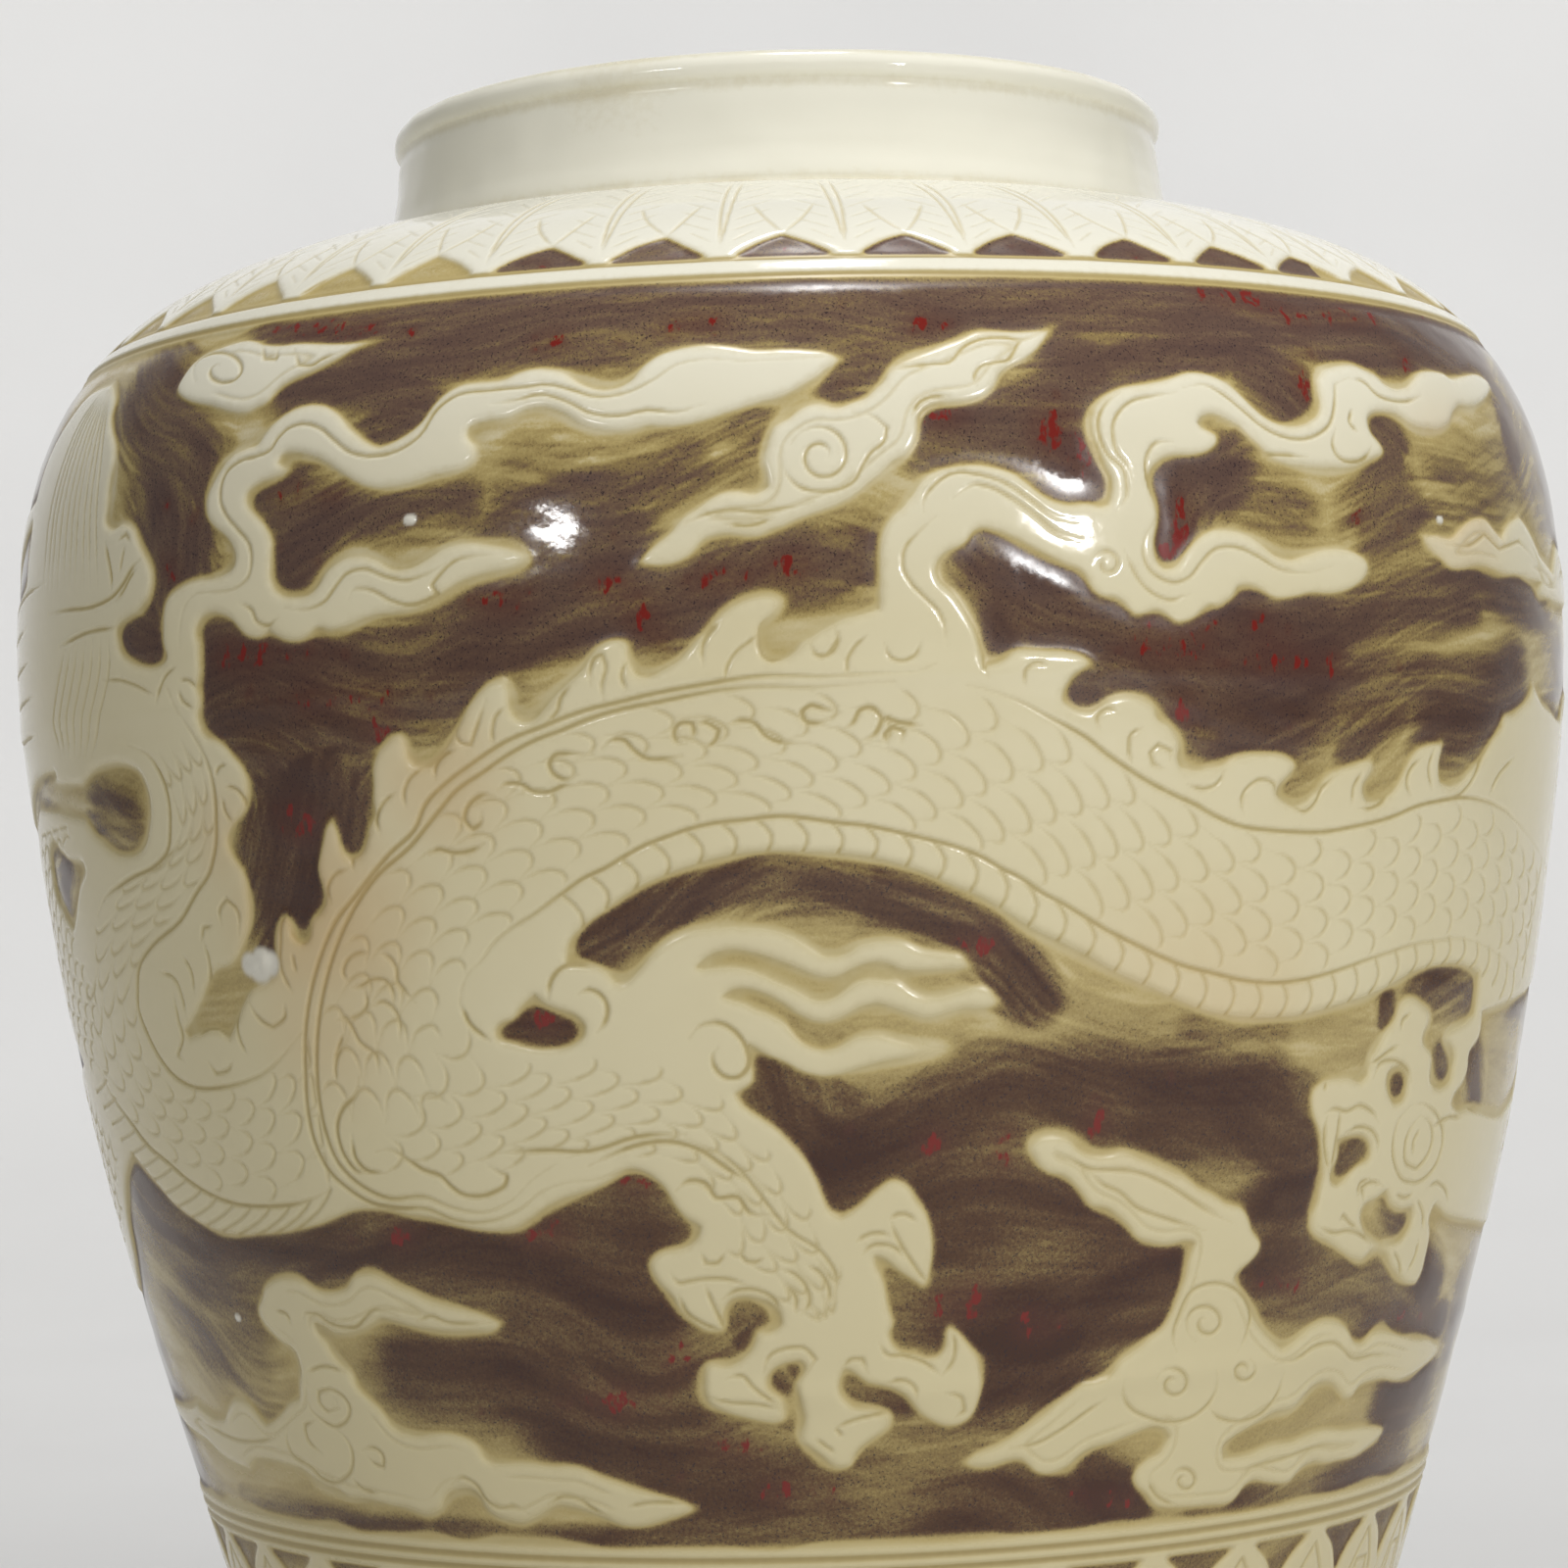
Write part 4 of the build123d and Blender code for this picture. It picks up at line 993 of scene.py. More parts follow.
PLATE_LINE = [
    (545, 934), (577, 909), (617, 886), (680, 854), (750, 837), (820, 835), (886, 843), (955, 860),
    (1010, 880), (1063, 911), (1114, 940), (1175, 972), (1230, 991), (1294, 1003), (1363, 991),
    (1425, 970), (1489, 957), (1529, 974), (1545, 992),
]
NECK_BACK = [
    (197, 750), (216, 794), (220, 857), (200, 911), (154, 966), (140, 1011), (151, 1057),
    (180, 1100), (223, 1110), (266, 1097), (300, 1063), (311, 1050),
]
NECK_BELLY = [
    (150, 770), (172, 814), (172, 871), (137, 894), (100, 934), (88, 1000), (100, 1086), (134, 1146),
    (171, 1186), (243, 1229), (300, 1229), (337, 1214),
]
NECK_EDGE = [(92, 1100), (129, 1171), (160, 1209), (200, 1246), (249, 1261), (300, 1257), (343, 1243)]
NECK_PLATES = [(100, 1086), (134, 1146), (171, 1186), (217, 1220), (271, 1231), (320, 1223), (337, 1214)]
LEG_BACK = [
    (470, 1030), (510, 1075), (600, 1075), (680, 1085), (730, 1110), (780, 1165), (830, 1230),
    (848, 1262), (862, 1300), (856, 1340),
]
LEG_FRONT = [
    (372, 1200), (430, 1205), (530, 1195), (620, 1180), (690, 1195), (730, 1235), (745, 1290),
    (775, 1310), (800, 1335), (830, 1350),
]


def resample(path, count):
    """A path cut into this many equal steps."""
    run = run_along(millimetres(path)[0])
    at = np.linspace(0, run[-1], count + 1)
    return np.stack([np.interp(at, run, path[:, 0]), np.interp(at, run, path[:, 1])], axis=1)


def path_length(path):
    """A path's length on the wall."""
    return np.linalg.norm(np.diff(millimetres(path)[0], axis=0), axis=1).sum()


def matched(first, second, step, pixels=True):
    """Two curves, on the wall, with the same number of points, so that they can be joined across."""
    paths = []
    for points in (first, second):
        path = smooth(points)
        paths.append(seen(path) if pixels else path)
    count = max(int(path_length(paths[0]) / step), 3)
    return [resample(path, count) for path in paths]


def scales(first, second, length=9.5, width=9.0, keep=1.0, pixels=True):
    """Cuts rows of overlapping scales between two curves, each scale rounded towards the tail."""
    back, belly = matched(first, second, 1.0, pixels)
    height = np.linalg.norm(millimetres(back)[0] - millimetres(belly)[0], axis=1)
    rows = max(int(round(np.median(height) / width)), 2)
    along = len(back) - 1
    arc = np.linspace(-1, 1, 9)
    bulge = np.sqrt(np.clip(1 - arc**2, 0, 1))
    for column in range(int(along / length) + 1):
        for row in range(-1, rows + 1):
            middle = (row + 0.5 + 0.5 * (column % 2)) / rows
            start = column * length + chance.uniform(-0.5, 0.5)
            across = middle + arc * 0.5 / rows
            onward = np.clip(start + bulge * length * 0.95, 0, along)
            if not 0.01 < middle < 0.99 or start > along - 1:
                continue
            inside = (across > 0.015) & (across < 0.985)
            if inside.sum() < 4 or chance.random() > keep:
                continue
            points = np.stack([
                np.interp(onward, np.arange(along + 1), back[:, k]) * (1 - across)
                + np.interp(onward, np.arange(along + 1), belly[:, k]) * across
                for k in (0, 1)
            ], axis=1)[inside]
            incise(lines, points, 1.25, depth=0.62)


def plates(first, second, step, pixels=True, bow=2.2):
    """Cuts the plates of a belly: short bowed lines from one edge of it to the other."""
    upper, lower = matched(first, second, step, pixels)
    for k in range(1, len(upper)):
        share = np.linspace(0, 1, 5)[:, None]
        line = upper[k] * (1 - share) + lower[k] * share
        line[:, 0] += np.degrees(bow / radius_at(line[:, 1])) * np.sin(share[:, 0] * math.pi)
        incise(lines, line, 1.3, depth=0.7, taper=False)


def strands(first, second, count, pixels=True, wave=0.0):
    """Cuts hair: fine lines spread between two curves."""
    left, right = matched(first, second, 4.0, pixels)
    for k in range(1, count):
        share = k / count + chance.uniform(-0.1, 0.1) / count
        line = left * (1 - share) + right * share
        steps = np.linspace(0, 1, len(line))
        line[:, 1] += wave * np.sin(steps * 9 + share * 5) * steps
        incise(lines, smooth(line), 1.1, depth=0.7)


for drawn in CLOUD_LINES + RIBBON_LINES + FOOT_LINES_FRONT + FIN_CURLS:
    incise(lines, seen(smooth(drawn)), FIGURE_LINE_WIDTH, depth=FIGURE_LINE_DEPTH)
for drawn in BODY_LINES:
    incise(lines, seen(smooth(drawn)), 1.6, depth=1.0)
scales(BACK_LINE, BELLY_LINE)
scales(NECK_BACK, NECK_BELLY, length=8.0, width=8.0)
scales(LEG_BACK, LEG_FRONT, length=8.0, width=8.0)
plates(PLATE_LINE, LOWER_EDGE, 8.0)
plates(NECK_PLATES, NECK_EDGE[:-1], 7.0)
strands(MANE_LEFT, MANE_RIGHT, 11)
strands(LOCK_LEFT, LOCK_RIGHT, 8)


# The carving behind: fins, scales and plates on the body, the head, the copied clouds and claws
def fins(path, half, step=17.0, tall=9.0):
    """Flame-shaped fins along the upper side of a path."""
    count = int(path_length(path) / step)
    edge = resample(beside(path, half - 1.5), count * 8)
    size = np.interp(np.linspace(0, 1, len(edge)), np.linspace(0, 1, len(half)), half)
    for k in range(count):
        near = edge[8 * k]
        far = edge[min(8 * k + 7, len(edge) - 1)]
        rise = tall * min(size[8 * k] / 22, 1)
        lean = np.degrees(3.0 / radius_at(far[1]))
        tip = (far[0] + lean, far[1] + rise)
        belly = (near[0] * 0.45 + far[0] * 0.55, (near[1] + far[1]) / 2 + rise * 0.75)
        hollow = (far[0], far[1] + rise * 0.3)
        root = (near + far) / 2 - (0, 4)
        paint_shape(figures, smooth([near, belly, tip, hollow, far, root], closed=True))
        curl_end = (belly[0] + lean * 0.6, belly[1] - rise * 0.5)
        curl = [near + (lean, 1), (belly[0], belly[1] - 2), curl_end]
        incise(lines, smooth(curl), 1.2, depth=0.8)


def copied(figure, drawn, turn, lift, mirror=False):
    """A figure from the front with the lines inside it, cut again elsewhere on the wall."""
    corners = np.array(figure, float)
    low, high = corners.min(axis=0) - COPY_MARGIN, corners.max(axis=0) + COPY_MARGIN
    shape = seen(smooth(figure, closed=True))
    middle = (shape.min(axis=0) + shape.max(axis=0)) / 2
    sign = np.array([-1.0 if mirror else 1.0, 1.0])
    sheets = [figures, clouds] if drawn is CLOUD_LINES else [figures]
    for sheet in sheets:
        paint_shape(sheet, middle + (shape - middle) * sign + (turn, lift))
    for line in drawn:
        line = np.array(line, float)
        if (line >= low).all() and (line <= high).all():
            line = middle + (seen(smooth(line)) - middle) * sign + (turn, lift)
            incise(lines, line, FIGURE_LINE_WIDTH, depth=FIGURE_LINE_DEPTH)


# The first points of the added body run under the body in front
HIDDEN = 16
fins(body_path[HIDDEN:], body_half[HIDDEN:])
back_edge = beside(body_path, body_half - 4.5)[HIDDEN:]
plate_edge = beside(body_path, -(body_half - 7.5))[HIDDEN:]
lower_edge = beside(body_path, -body_half)[HIDDEN:]
incise(lines, back_edge, 1.6)
incise(lines, plate_edge, 1.6)
scales(back_edge, plate_edge, pixels=False)
plates(plate_edge, lower_edge, 8.0, pixels=False)
TAIL_TUFTS = [
    [(206, 240), (214, 252), (213, 266), (219, 276)],
    [(205, 242), (208, 258), (203, 270), (206, 282)],
    [(206, 236), (217, 242), (224, 254), (232, 260)],
    [(204, 246), (199, 258), (193, 264), (190, 276)],
]
for tuft in TAIL_TUFTS:
    paint_shape(figures, ribbon(tuft, [5.0, 4.5, 3.0, 0.6]))
    incise(lines, smooth(tuft), 1.2, depth=0.8)
forefoot = FORELEG[FORELEG.index((750, 1116)):FORELEG.index((643, 1193)) + 1]
copied(forefoot, FOOT_LINES_FRONT, -96, -10, mirror=True)
# The two edges of the scales on the second foreleg, on the hind leg and on the neck
SCALED_LIMBS = [
    ([(-66, 212), (-72, 190), (-79, 178)], [(-79, 230), (-85, 212), (-89, 192)]),
    ([(76, 208), (82, 222), (84, 250)], [(74, 190), (90, 208), (100, 250)]),
    ([(-68, 226), (-76, 240), (-79, 262), (-74, 290)], [(-62, 250), (-66, 262), (-66, 276), (-62, 292)]),
]
for first, second in SCALED_LIMBS:
    scales(first, second, length=8.0, width=8.0, pixels=False)
# The front's figures cut again behind: (outline, its lines, turn, lift, mirrored)
COPIES = [
    (CLOUD_MIDDLE, CLOUD_LINES, -124, 4, True),
    (CLOUD_HIGH, CLOUD_LINES, -50, -12, False),
    (RIBBON_RIGHT, RIBBON_LINES, 88, -6, False),
    (CLOUD_MIDDLE, CLOUD_LINES, 158, 0, False),
    (CLOUD_RIGHT, CLOUD_LINES, 78, 3, False),
    (CLOUD_LEFT, CLOUD_LINES, 212, 6, False),
    (CLOUD_MIDDLE, CLOUD_LINES, 126, -142, False),
    (CLOUD_MIDDLE, CLOUD_LINES, 176, -78, True),
    (CLOUD_RIGHT, CLOUD_LINES, -172, 8, True),
    (CLOUD_HIGH, CLOUD_LINES, -98, -160, True),
    (CLOUD_EDGE, CLOUD_LINES, 18, -4, True),
]
for copy in COPIES:
    copied(*copy)

# The head's own lines: brow, eye, nostril, mouth, teeth, cheek fringe and horn
HEAD_LINES = [
    [(-99, 306), (-92, 304), (-86, 309), (-82, 316), (-84, 322)],
    [(-110, 327), (-105, 330), (-101, 335), (-97, 333), (-93, 335)],
    [(-106, 324), (-102, 328), (-97, 329), (-93, 326), (-97, 322), (-102, 321), (-106, 324)],
    [(-118, 318), (-115, 322), (-112, 321), (-114, 317)],
    [(-121, 312), (-114, 309), (-106, 311), (-99, 314), (-93, 312)],
    [(-110, 290), (-104, 292), (-97, 296), (-91, 302)],
    [(-88, 342), (-84, 352), (-80, 360), (-74, 367)], [(-86, 338), (-80, 347), (-72, 352), (-64, 354)],
    [(-88, 334), (-80, 340), (-70, 344)], [(-87, 328), (-79, 332), (-69, 335)],
    [(-86, 322), (-78, 324), (-68, 326)], [(-85, 315), (-77, 315), (-68, 316)],
    [(-90, 318), (-88, 324), (-90, 330), (-94, 332)], [(-107, 304), (-106, 309)],
    [(-111, 303), (-110, 308)], [(-115, 304), (-114, 309)],
]
for drawn in HEAD_LINES:
    incise(lines, smooth(drawn), 1.3, depth=0.9)
circle = np.linspace(0, TURN, 25)
ring = np.stack([np.cos(circle), np.sin(circle)], axis=1)
ring[-1] = ring[0]


def round_line(centre, radius):
    """A circle on the wall, which ends where it starts."""
    return centre + ring * (np.degrees(radius / radius_at(centre[1])), radius)


incise(lines, round_line(EYE, EYE_RADIUS), 1.4, taper=False)
paint_shape(figures, round_line(PEARL, PEARL_RADIUS)[:-1])
for turned in FLAME_WAYS:
    way = np.array([math.cos(math.radians(turned)) * DEGREES_PER_MM, math.sin(math.radians(turned))])
    bend = np.array([way[1] * DEGREES_PER_MM, -way[0] / DEGREES_PER_MM]) * 5
    flame = [PEARL + way * 10, PEARL + way * 19 + bend, PEARL + way * 29]
    paint_shape(figures, ribbon(flame, [3.4, 2.8, 0.5]))
incise(lines, round_line(PEARL, PEARL_RADIUS - 3.5), 1.5, taper=False)

# Leaves round the shoulder, with a painted wedge between each two tips, and petals over the foot
LEAVES = 41
PETALS = 37
leaf_pitch = 360 / LEAVES
petal_pitch = 360 / PETALS
wedges = layer()
leaf_tip = SHOULDER_LINES[0] + 0.7
leaf_fork = 422.3
leaf_root = 444.0
petal_tip = FOOT_LINES[0] - 2.6
petal_fork = 96.0
petal_root = 48.0
LEAF_FOOT = 416
LEAF_RISE = 28
LEAF_MIDDLE = 430
VEIN_HEIGHTS = np.arange(420, 441, 3.2)
PETAL_BEND = 88
PETAL_SHOULDER = 98
for k in range(LEAVES):
    middle = k * leaf_pitch + chance.uniform(-0.3, 0.3)
    wide = leaf_pitch * chance.uniform(0.40, 0.44)
    fork = leaf_fork + chance.uniform(-0.8, 0.8)
    peak = middle + chance.uniform(-0.5, 0.5)
    wedge = [
        (middle - wide, leaf_tip),
        (middle - wide * 0.5, leaf_tip + (fork - leaf_tip) * 0.62),
        (peak, fork),
        (middle + wide * 0.5, leaf_tip + (fork - leaf_tip) * 0.56),
        (middle + wide, leaf_tip),
    ]
    paint_shape(wedges, smooth(wedge, closed=True, corner=50))
    for side in (-1, 1):
        edge = [
            (peak, fork),
            (middle + side * leaf_pitch * 0.16, fork + 4.5),
            (middle + side * leaf_pitch * 0.3, fork + 10),
        ]
        incise(lines, smooth(edge), 1.2, depth=0.55)
    leaf = middle + leaf_pitch / 2
    lean = chance.uniform(-0.5, 0.5)
    for side in (-1, 1):
        rib = [
            (leaf, leaf_tip + 2),
            (leaf + lean * 0.4 + side * 0.35, LEAF_MIDDLE),
            (leaf + lean + side * 0.55, leaf_root),
        ]
        incise(lines, smooth(rib), 1.1, depth=0.6)
        for height in VEIN_HEIGHTS:
            end = min(0.16 + (height - LEAF_FOOT) * 0.035, 0.42)
            shift = lean * (height - LEAF_FOOT) / LEAF_RISE
            vein = [
                (leaf + side * 0.6 + shift, height),
                (leaf + side * leaf_pitch * end + shift, height + 3.6),
            ]
            incise(lines, vein, 0.95, depth=0.35)
for k in range(PETALS):
    middle = (k + 0.5) * petal_pitch + chance.uniform(-0.2, 0.2)
    wide = petal_pitch * 0.40
    wedge = [
        (middle - wide, petal_tip),
        (middle - wide * 0.5, petal_tip - 4),
        (middle - wide * 0.12, petal_fork + 3),
        (middle, petal_fork),
        (middle + wide * 0.12, petal_fork + 3),
        (middle + wide * 0.5, petal_tip - 4),
        (middle + wide, petal_tip),
    ]
    paint_shape(wedges, smooth(wedge, closed=True, corner=40))
    incise(lines, [(middle, petal_fork), (middle, petal_root)], 1.6, depth=0.9)
    petal = middle + petal_pitch / 2
    for inset in (0.30, 0.17):
        arch = [
            (petal - petal_pitch * inset, petal_root),
            (petal - petal_pitch * inset, PETAL_BEND),
            (petal - petal_pitch * inset * 0.62, PETAL_SHOULDER),
            (petal, petal_tip - 3 - (0.3 - inset) * 60),
            (petal + petal_pitch * inset * 0.62, PETAL_SHOULDER),
            (petal + petal_pitch * inset, PETAL_BEND),
            (petal + petal_pitch * inset, petal_root),
        ]
        incise(lines, smooth(arch), 1.4, depth=0.8, taper=False)

# The turned lines round the shoulder and the foot
for height in SHOULDER_LINES + FOOT_LINES:
    away = np.abs(row_runs - run_at(height))
    groove = np.clip(1 - (away / TURNED_HALF_WIDTH)**2, 0, 1)[:, None]
    np.maximum(lines, groove * TURNED_DEPTH, out=lines)

# Relief: the ground is cut back between the figures, deepest beside them
over_bottom = ramp(row_heights, FIELD_BOTTOM - 0.5, FIELD_BOTTOM + 0.8)
under_top = 1 - ramp(row_heights, FIELD_TOP - 0.8, FIELD_TOP + 0.5)
field = (over_bottom * under_top)[:, None].astype(np.float32)
ground = np.maximum(field * (1 - figures), wedges)
flat_x = np.radians(column_angles)[None, :] * FLAT_RADIUS
flat_y = row_runs[:, None]
# A second outline inside each cloud, cut with a lifting hand
inset = np.clip(1 - np.abs(blur(clouds, 3.4) - 0.90) / 0.05, 0, 1)
lifting = ramp(grain(flat_x / 22, flat_y / 22, 23), 0.34, 0.56)
lines = np.maximum(lines, 0.5 * inset * lifting)
tool_marks = grain(flat_x / 9 + flat_y / 15, flat_y / 5, 21) - 0.5
edge_shade = np.clip(blur(1 - ground, 5.0) * 2, 0, 1) * ground
soft_ground = blur(ground, 0.9)
sunk = soft_ground * (GROUND_DEPTH + 0.16 * tool_marks) + edge_shade * GROUND_EDGE_DEPTH
round_edge = np.clip(blur(ground, 1.6) * 2, 0, 1) * (1 - ground)
sunk += 0.22 * round_edge
lines *= 1 - ground
sunk += LINE_DEPTH * lines
# The faint ridges that the luting leaves outside, over the two upper joints of the wall
swell = np.zeros(ROWS)
for height in joint_heights[1:]:
    swell += 0.35 * np.exp(-((row_heights - height) / 3.5)**2)
sunk -= swell[:, None] * (1 - 0.5 * soft_ground)
sunk += 0.12 * (grain(flat_x / 55, flat_y / 40, 22) - 0.5)

# The painter's strokes on the ground, in pixels: (strength, half width in millimetres, path)
DARK_STROKES = [
    (1.15, 11, [(300, 322), (420, 326), (600, 318), (800, 310), (1000, 312), (1200, 305), (1400, 320),
                (1500, 352)]),
    (1.0, 8, [(400, 360), (520, 352), (640, 340), (760, 330)]),
    (1.1, 12, [(150, 400), (165, 440), (185, 470), (170, 520), (180, 560)]),
    (1.1, 12, [(215, 690), (300, 700), (400, 700), (470, 680)]),
    (1.1, 12, [(240, 740), (300, 780), (300, 850), (290, 920)]),
    (1.0, 9, [(350, 760), (330, 850)]),
    (1.05, 9, [(480, 640), (560, 610), (640, 590)]),
    (0.8, 7, [(640, 600), (720, 590), (800, 580), (880, 570)]),
    (0.95, 8, [(300, 670), (420, 680), (520, 650), (620, 625), (720, 610)]),
    (0.95, 8, [(275, 500), (330, 530), (300, 580)]),
    (0.85, 5, [(280, 520), (380, 530), (470, 520)]),
    (0.95, 8, [(150, 480), (170, 520), (150, 560), (165, 600), (180, 560)]),
    (0.6, 6, [(190, 430), (160, 470), (200, 500)]),
    (0.35, 8, [(125, 420), (150, 440), (190, 420)]),
    (1.05, 7, [(300, 400), (340, 395), (400, 400), (430, 420), (390, 430)]),
    (0.9, 5, [(420, 380), (480, 370), (560, 360), (640, 355)]),
    (0.9, 6, [(520, 530), (580, 510), (640, 500), (700, 470)]),
    (1.0, 6, [(500, 560), (560, 545), (640, 540)]),
    (0.4, 8, [(640, 450), (720, 460), (760, 440)]),
    (0.35, 6, [(540, 470), (620, 460)]),
    (0.6, 6, [(760, 440), (820, 400), (900, 360), (980, 325)]),
    (0.9, 6, [(880, 330), (960, 320), (1060, 318)]),
    (1.05, 9, [(1080, 350), (1110, 380), (1060, 420), (980, 440)]),
    (1.0, 9, [(960, 440), (1000, 440), (1080, 450), (1100, 480)]),
    (0.9, 7, [(1100, 380), (1180, 360), (1250, 350)]),
    (1.05, 7, [(1250, 300), (1330, 330), (1400, 350), (1470, 355)]),
    (1.05, 7, [(1280, 370), (1320, 400), (1340, 420)]),
    (1.1, 8, [(1195, 480), (1200, 540), (1215, 500), (1250, 480)]),
    (0.42, 6, [(1260, 500), (1320, 520)]),
    (0.45, 9, [(1470, 500), (1530, 500), (1560, 480)]),
    (1.0, 8, [(1400, 440), (1420, 480), (1400, 530), (1440, 520)]),
    (0.8, 6, [(1500, 360), (1530, 400), (1550, 480)]),
    (0.9, 6, [(1490, 600), (1500, 580), (1580, 620)]),
    (1.1, 12, [(1050, 580), (1100, 620), (1180, 660), (1260, 650), (1340, 640)]),
    (1.05, 12, [(1160, 640), (1240, 700), (1330, 700), (1280, 750)]),
    (0.8, 7, [(1340, 640), (1420, 620), (1500, 600)]),
    (0.62, 7, [(1300, 720), (1400, 700), (1500, 700), (1545, 690)]),
    (1.1, 9, [(1470, 740), (1510, 730), (1545, 700)]),
    (0.6, 5, [(1380, 760), (1430, 720)]),
    (0.9, 8, [(1010, 560), (1030, 600), (1020, 640)]),
    (1.0, 5, [(1090, 700), (1110, 700)]),
    (0.8, 5, [(600, 970), (660, 930), (740, 905), (830, 905), (900, 920)]),
    (0.95, 6, [(900, 920), (980, 940), (1030, 985), (1050, 1020)]),
    (0.75, 9, [(790, 1100), (830, 1140), (880, 1170), (1000, 1120), (1100, 1110)]),
    (1.0, 10, [(850, 1200), (950, 1160), (1050, 1130), (1180, 1120), (1290, 1130)]),
    (1.15, 22, [(980, 1250), (1050, 1250), (1130, 1300), (1050, 1350)]),
    (1.1, 11, [(1180, 1130), (1300, 1150), (1340, 1200), (1310, 1230)]),
    (1.1, 14, [(1010, 1400), (1100, 1350), (1180, 1320)]),
    (1.1, 10, [(1300, 1290), (1380, 1320), (1450, 1330)]),
    (0.9, 5, [(1300, 1330), (1400, 1345), (1470, 1350)]),
    (1.0, 9, [(1000, 1530), (1100, 1530), (1200, 1560), (1400, 1530), (1480, 1500)]),
    (1.0, 8, [(1350, 1530), (1430, 1500)]),
    (1.0, 8, [(1420, 1430), (1470, 1410)]),
    (1.1, 10, [(900, 1520), (1000, 1510), (1100, 1540)]),
    (1.1, 12, [(700, 1500), (800, 1520), (900, 1540), (1000, 1570)]),
    (0.9, 6, [(620, 1590), (800, 1580), (1000, 1590), (1200, 1585)]),
    (1.1, 12, [(400, 1290), (520, 1280), (640, 1260)]),
    (1.15, 18, [(560, 1300), (650, 1350), (600, 1420), (680, 1440)]),
    (0.9, 10, [(420, 1400), (500, 1410), (560, 1420), (640, 1450)]),
    (1.05, 9, [(650, 1470), (760, 1500), (860, 1520)]),
    (1.05, 12, [(150, 1230), (190, 1290), (260, 1280), (350, 1270)]),
    (0.7, 10, [(180, 1330), (220, 1380), (260, 1400)]),
    (0.5, 3, [(250, 1530), (400, 1560), (600, 1570)]),
    (0.9, 5, [(130, 650), (155, 665)]),
    (0.8, 6, [(100, 830), (130, 840)]),
    (0.9, 4, [(66, 880), (66, 930)]),
    (1.0, 5, [(520, 1050), (580, 1055)]),
    (0.9, 4, [(1430, 1100), (1428, 1115)]),
    (0.9, 4, [(1370, 1195), (1390, 1170)]),
    (0.5, 4, [(1420, 1225), (1430, 1255)]),
    (0.7, 5, [(1500, 1000), (1450, 1005)]),
    (0.35, 5, [(1220, 1060), (1300, 1070)]),
    (0.5, 4, [(770, 1020), (800, 1035)]),
    (1.0, 4, [(745, 1345), (765, 1330), (790, 1345)]),
    (1.0, 3, [(760, 1370), (775, 1360)]),
    (1.0, 4, [(785, 1410), (800, 1425), (808, 1445)]),
    (1.0, 3, [(812, 1388), (815, 1400)]),
    (1.0, 4, [(862, 1405), (875, 1425), (905, 1430), (925, 1430)]),
    (0.95, 5, [(1460, 1012), (1490, 1015), (1510, 1020)]),
    (0.95, 4, [(1505, 1060), (1508, 1095), (1508, 1125)]),
    (0.9, 2.5, [(1417, 1022), (1417, 1038)]),
    (0.9, 3, [(1472, 1075), (1475, 1095)]),
    (1.0, 7, [(1440, 1280), (1460, 1320), (1450, 1350)]),
]
# Clusters of red flecks, in pixels: (number, spread across, spread down, middle)
RED_CLUSTERS = [
    (34, 50, 10, (345, 333)), (30, 26, 9, (1270, 300)), (26, 50, 6, (1345, 322)),
    (22, 10, 26, (1335, 385)), (8, 5, 8, (1439, 372)), (8, 10, 5, (567, 348)),
    (16, 34, 12, (730, 588)), (10, 12, 8, (800, 578)), (12, 22, 5, (620, 595)),
    (14, 8, 14, (655, 628)), (10, 8, 10, (680, 670)), (14, 12, 16, (388, 750)),
    (26, 60, 16, (265, 668)), (22, 65, 12, (330, 712)), (20, 10, 24, (1110, 465)),
    (18, 14, 18, (1072, 438)), (16, 14, 12, (962, 420)), (14, 10, 10, (1190, 568)),
    (16, 12, 26, (1205, 530)), (12, 8, 14, (1386, 528)), (22, 34, 20, (1185, 660)),
    (10, 8, 8, (1207, 728)), (20, 66, 14, (1330, 675)), (16, 8, 12, (992, 1332)),
    (14, 6, 12, (960, 1332)), (12, 8, 10, (952, 1170)), (12, 6, 14, (1025, 1175)),
    (10, 10, 10, (1120, 1150)), (12, 10, 8, (655, 1202)), (12, 12, 8, (412, 1262)),
    (22, 40, 14, (630, 1432)), (10, 20, 3, (752, 1475)), (14, 30, 20, (720, 1385)),
    (12, 20, 10, (560, 1260)), (12, 30, 14, (880, 520)), (10, 12, 6, (990, 965)),
    (12, 14, 10, (550, 1040)), (14, 60, 14, (1250, 640)), (14, 40, 10, (700, 335)),
    (12, 40, 10, (940, 330)), (12, 40, 14, (400, 1220)), (10, 30, 20, (1060, 1350)),
    (12, 50, 12, (820, 1525)), (10, 40, 10, (1150, 1530)), (12, 30, 30, (1180, 1250)),
    (10, 20, 40, (170, 560)), (12, 40, 16, (330, 500)), (10, 30, 10, (1530, 380)),
    (10, 20, 20, (300, 840)), (10, 40, 20, (500, 610)), (12, 20, 8, (1300, 1310)),
    (10, 20, 6, (1440, 1345)),
]
# Kiln specks in the glaze: (x, y, radius in millimetres)
WHITE_SPOTS = [
    (253, 985, 3.2), (262, 989, 3.8), (271, 984, 3.4), (264, 979, 3.0), (415, 530, 1.3),
    (1470, 530, 1.0), (240, 1345, 1.0),
]
# Places where the glaze turned orange: (middle in pixels, size in millimetres, strength)
WARM_SPOTS = [
    ((325, 930), 40, 0.9), ((330, 1040), 30, 0.5), ((440, 790), 26, 0.6), ((1240, 1060), 50, 0.5),
    ((1180, 1030), 40, 0.4), ((230, 850), 20, 0.5), ((1490, 500), 34, 0.7),
]
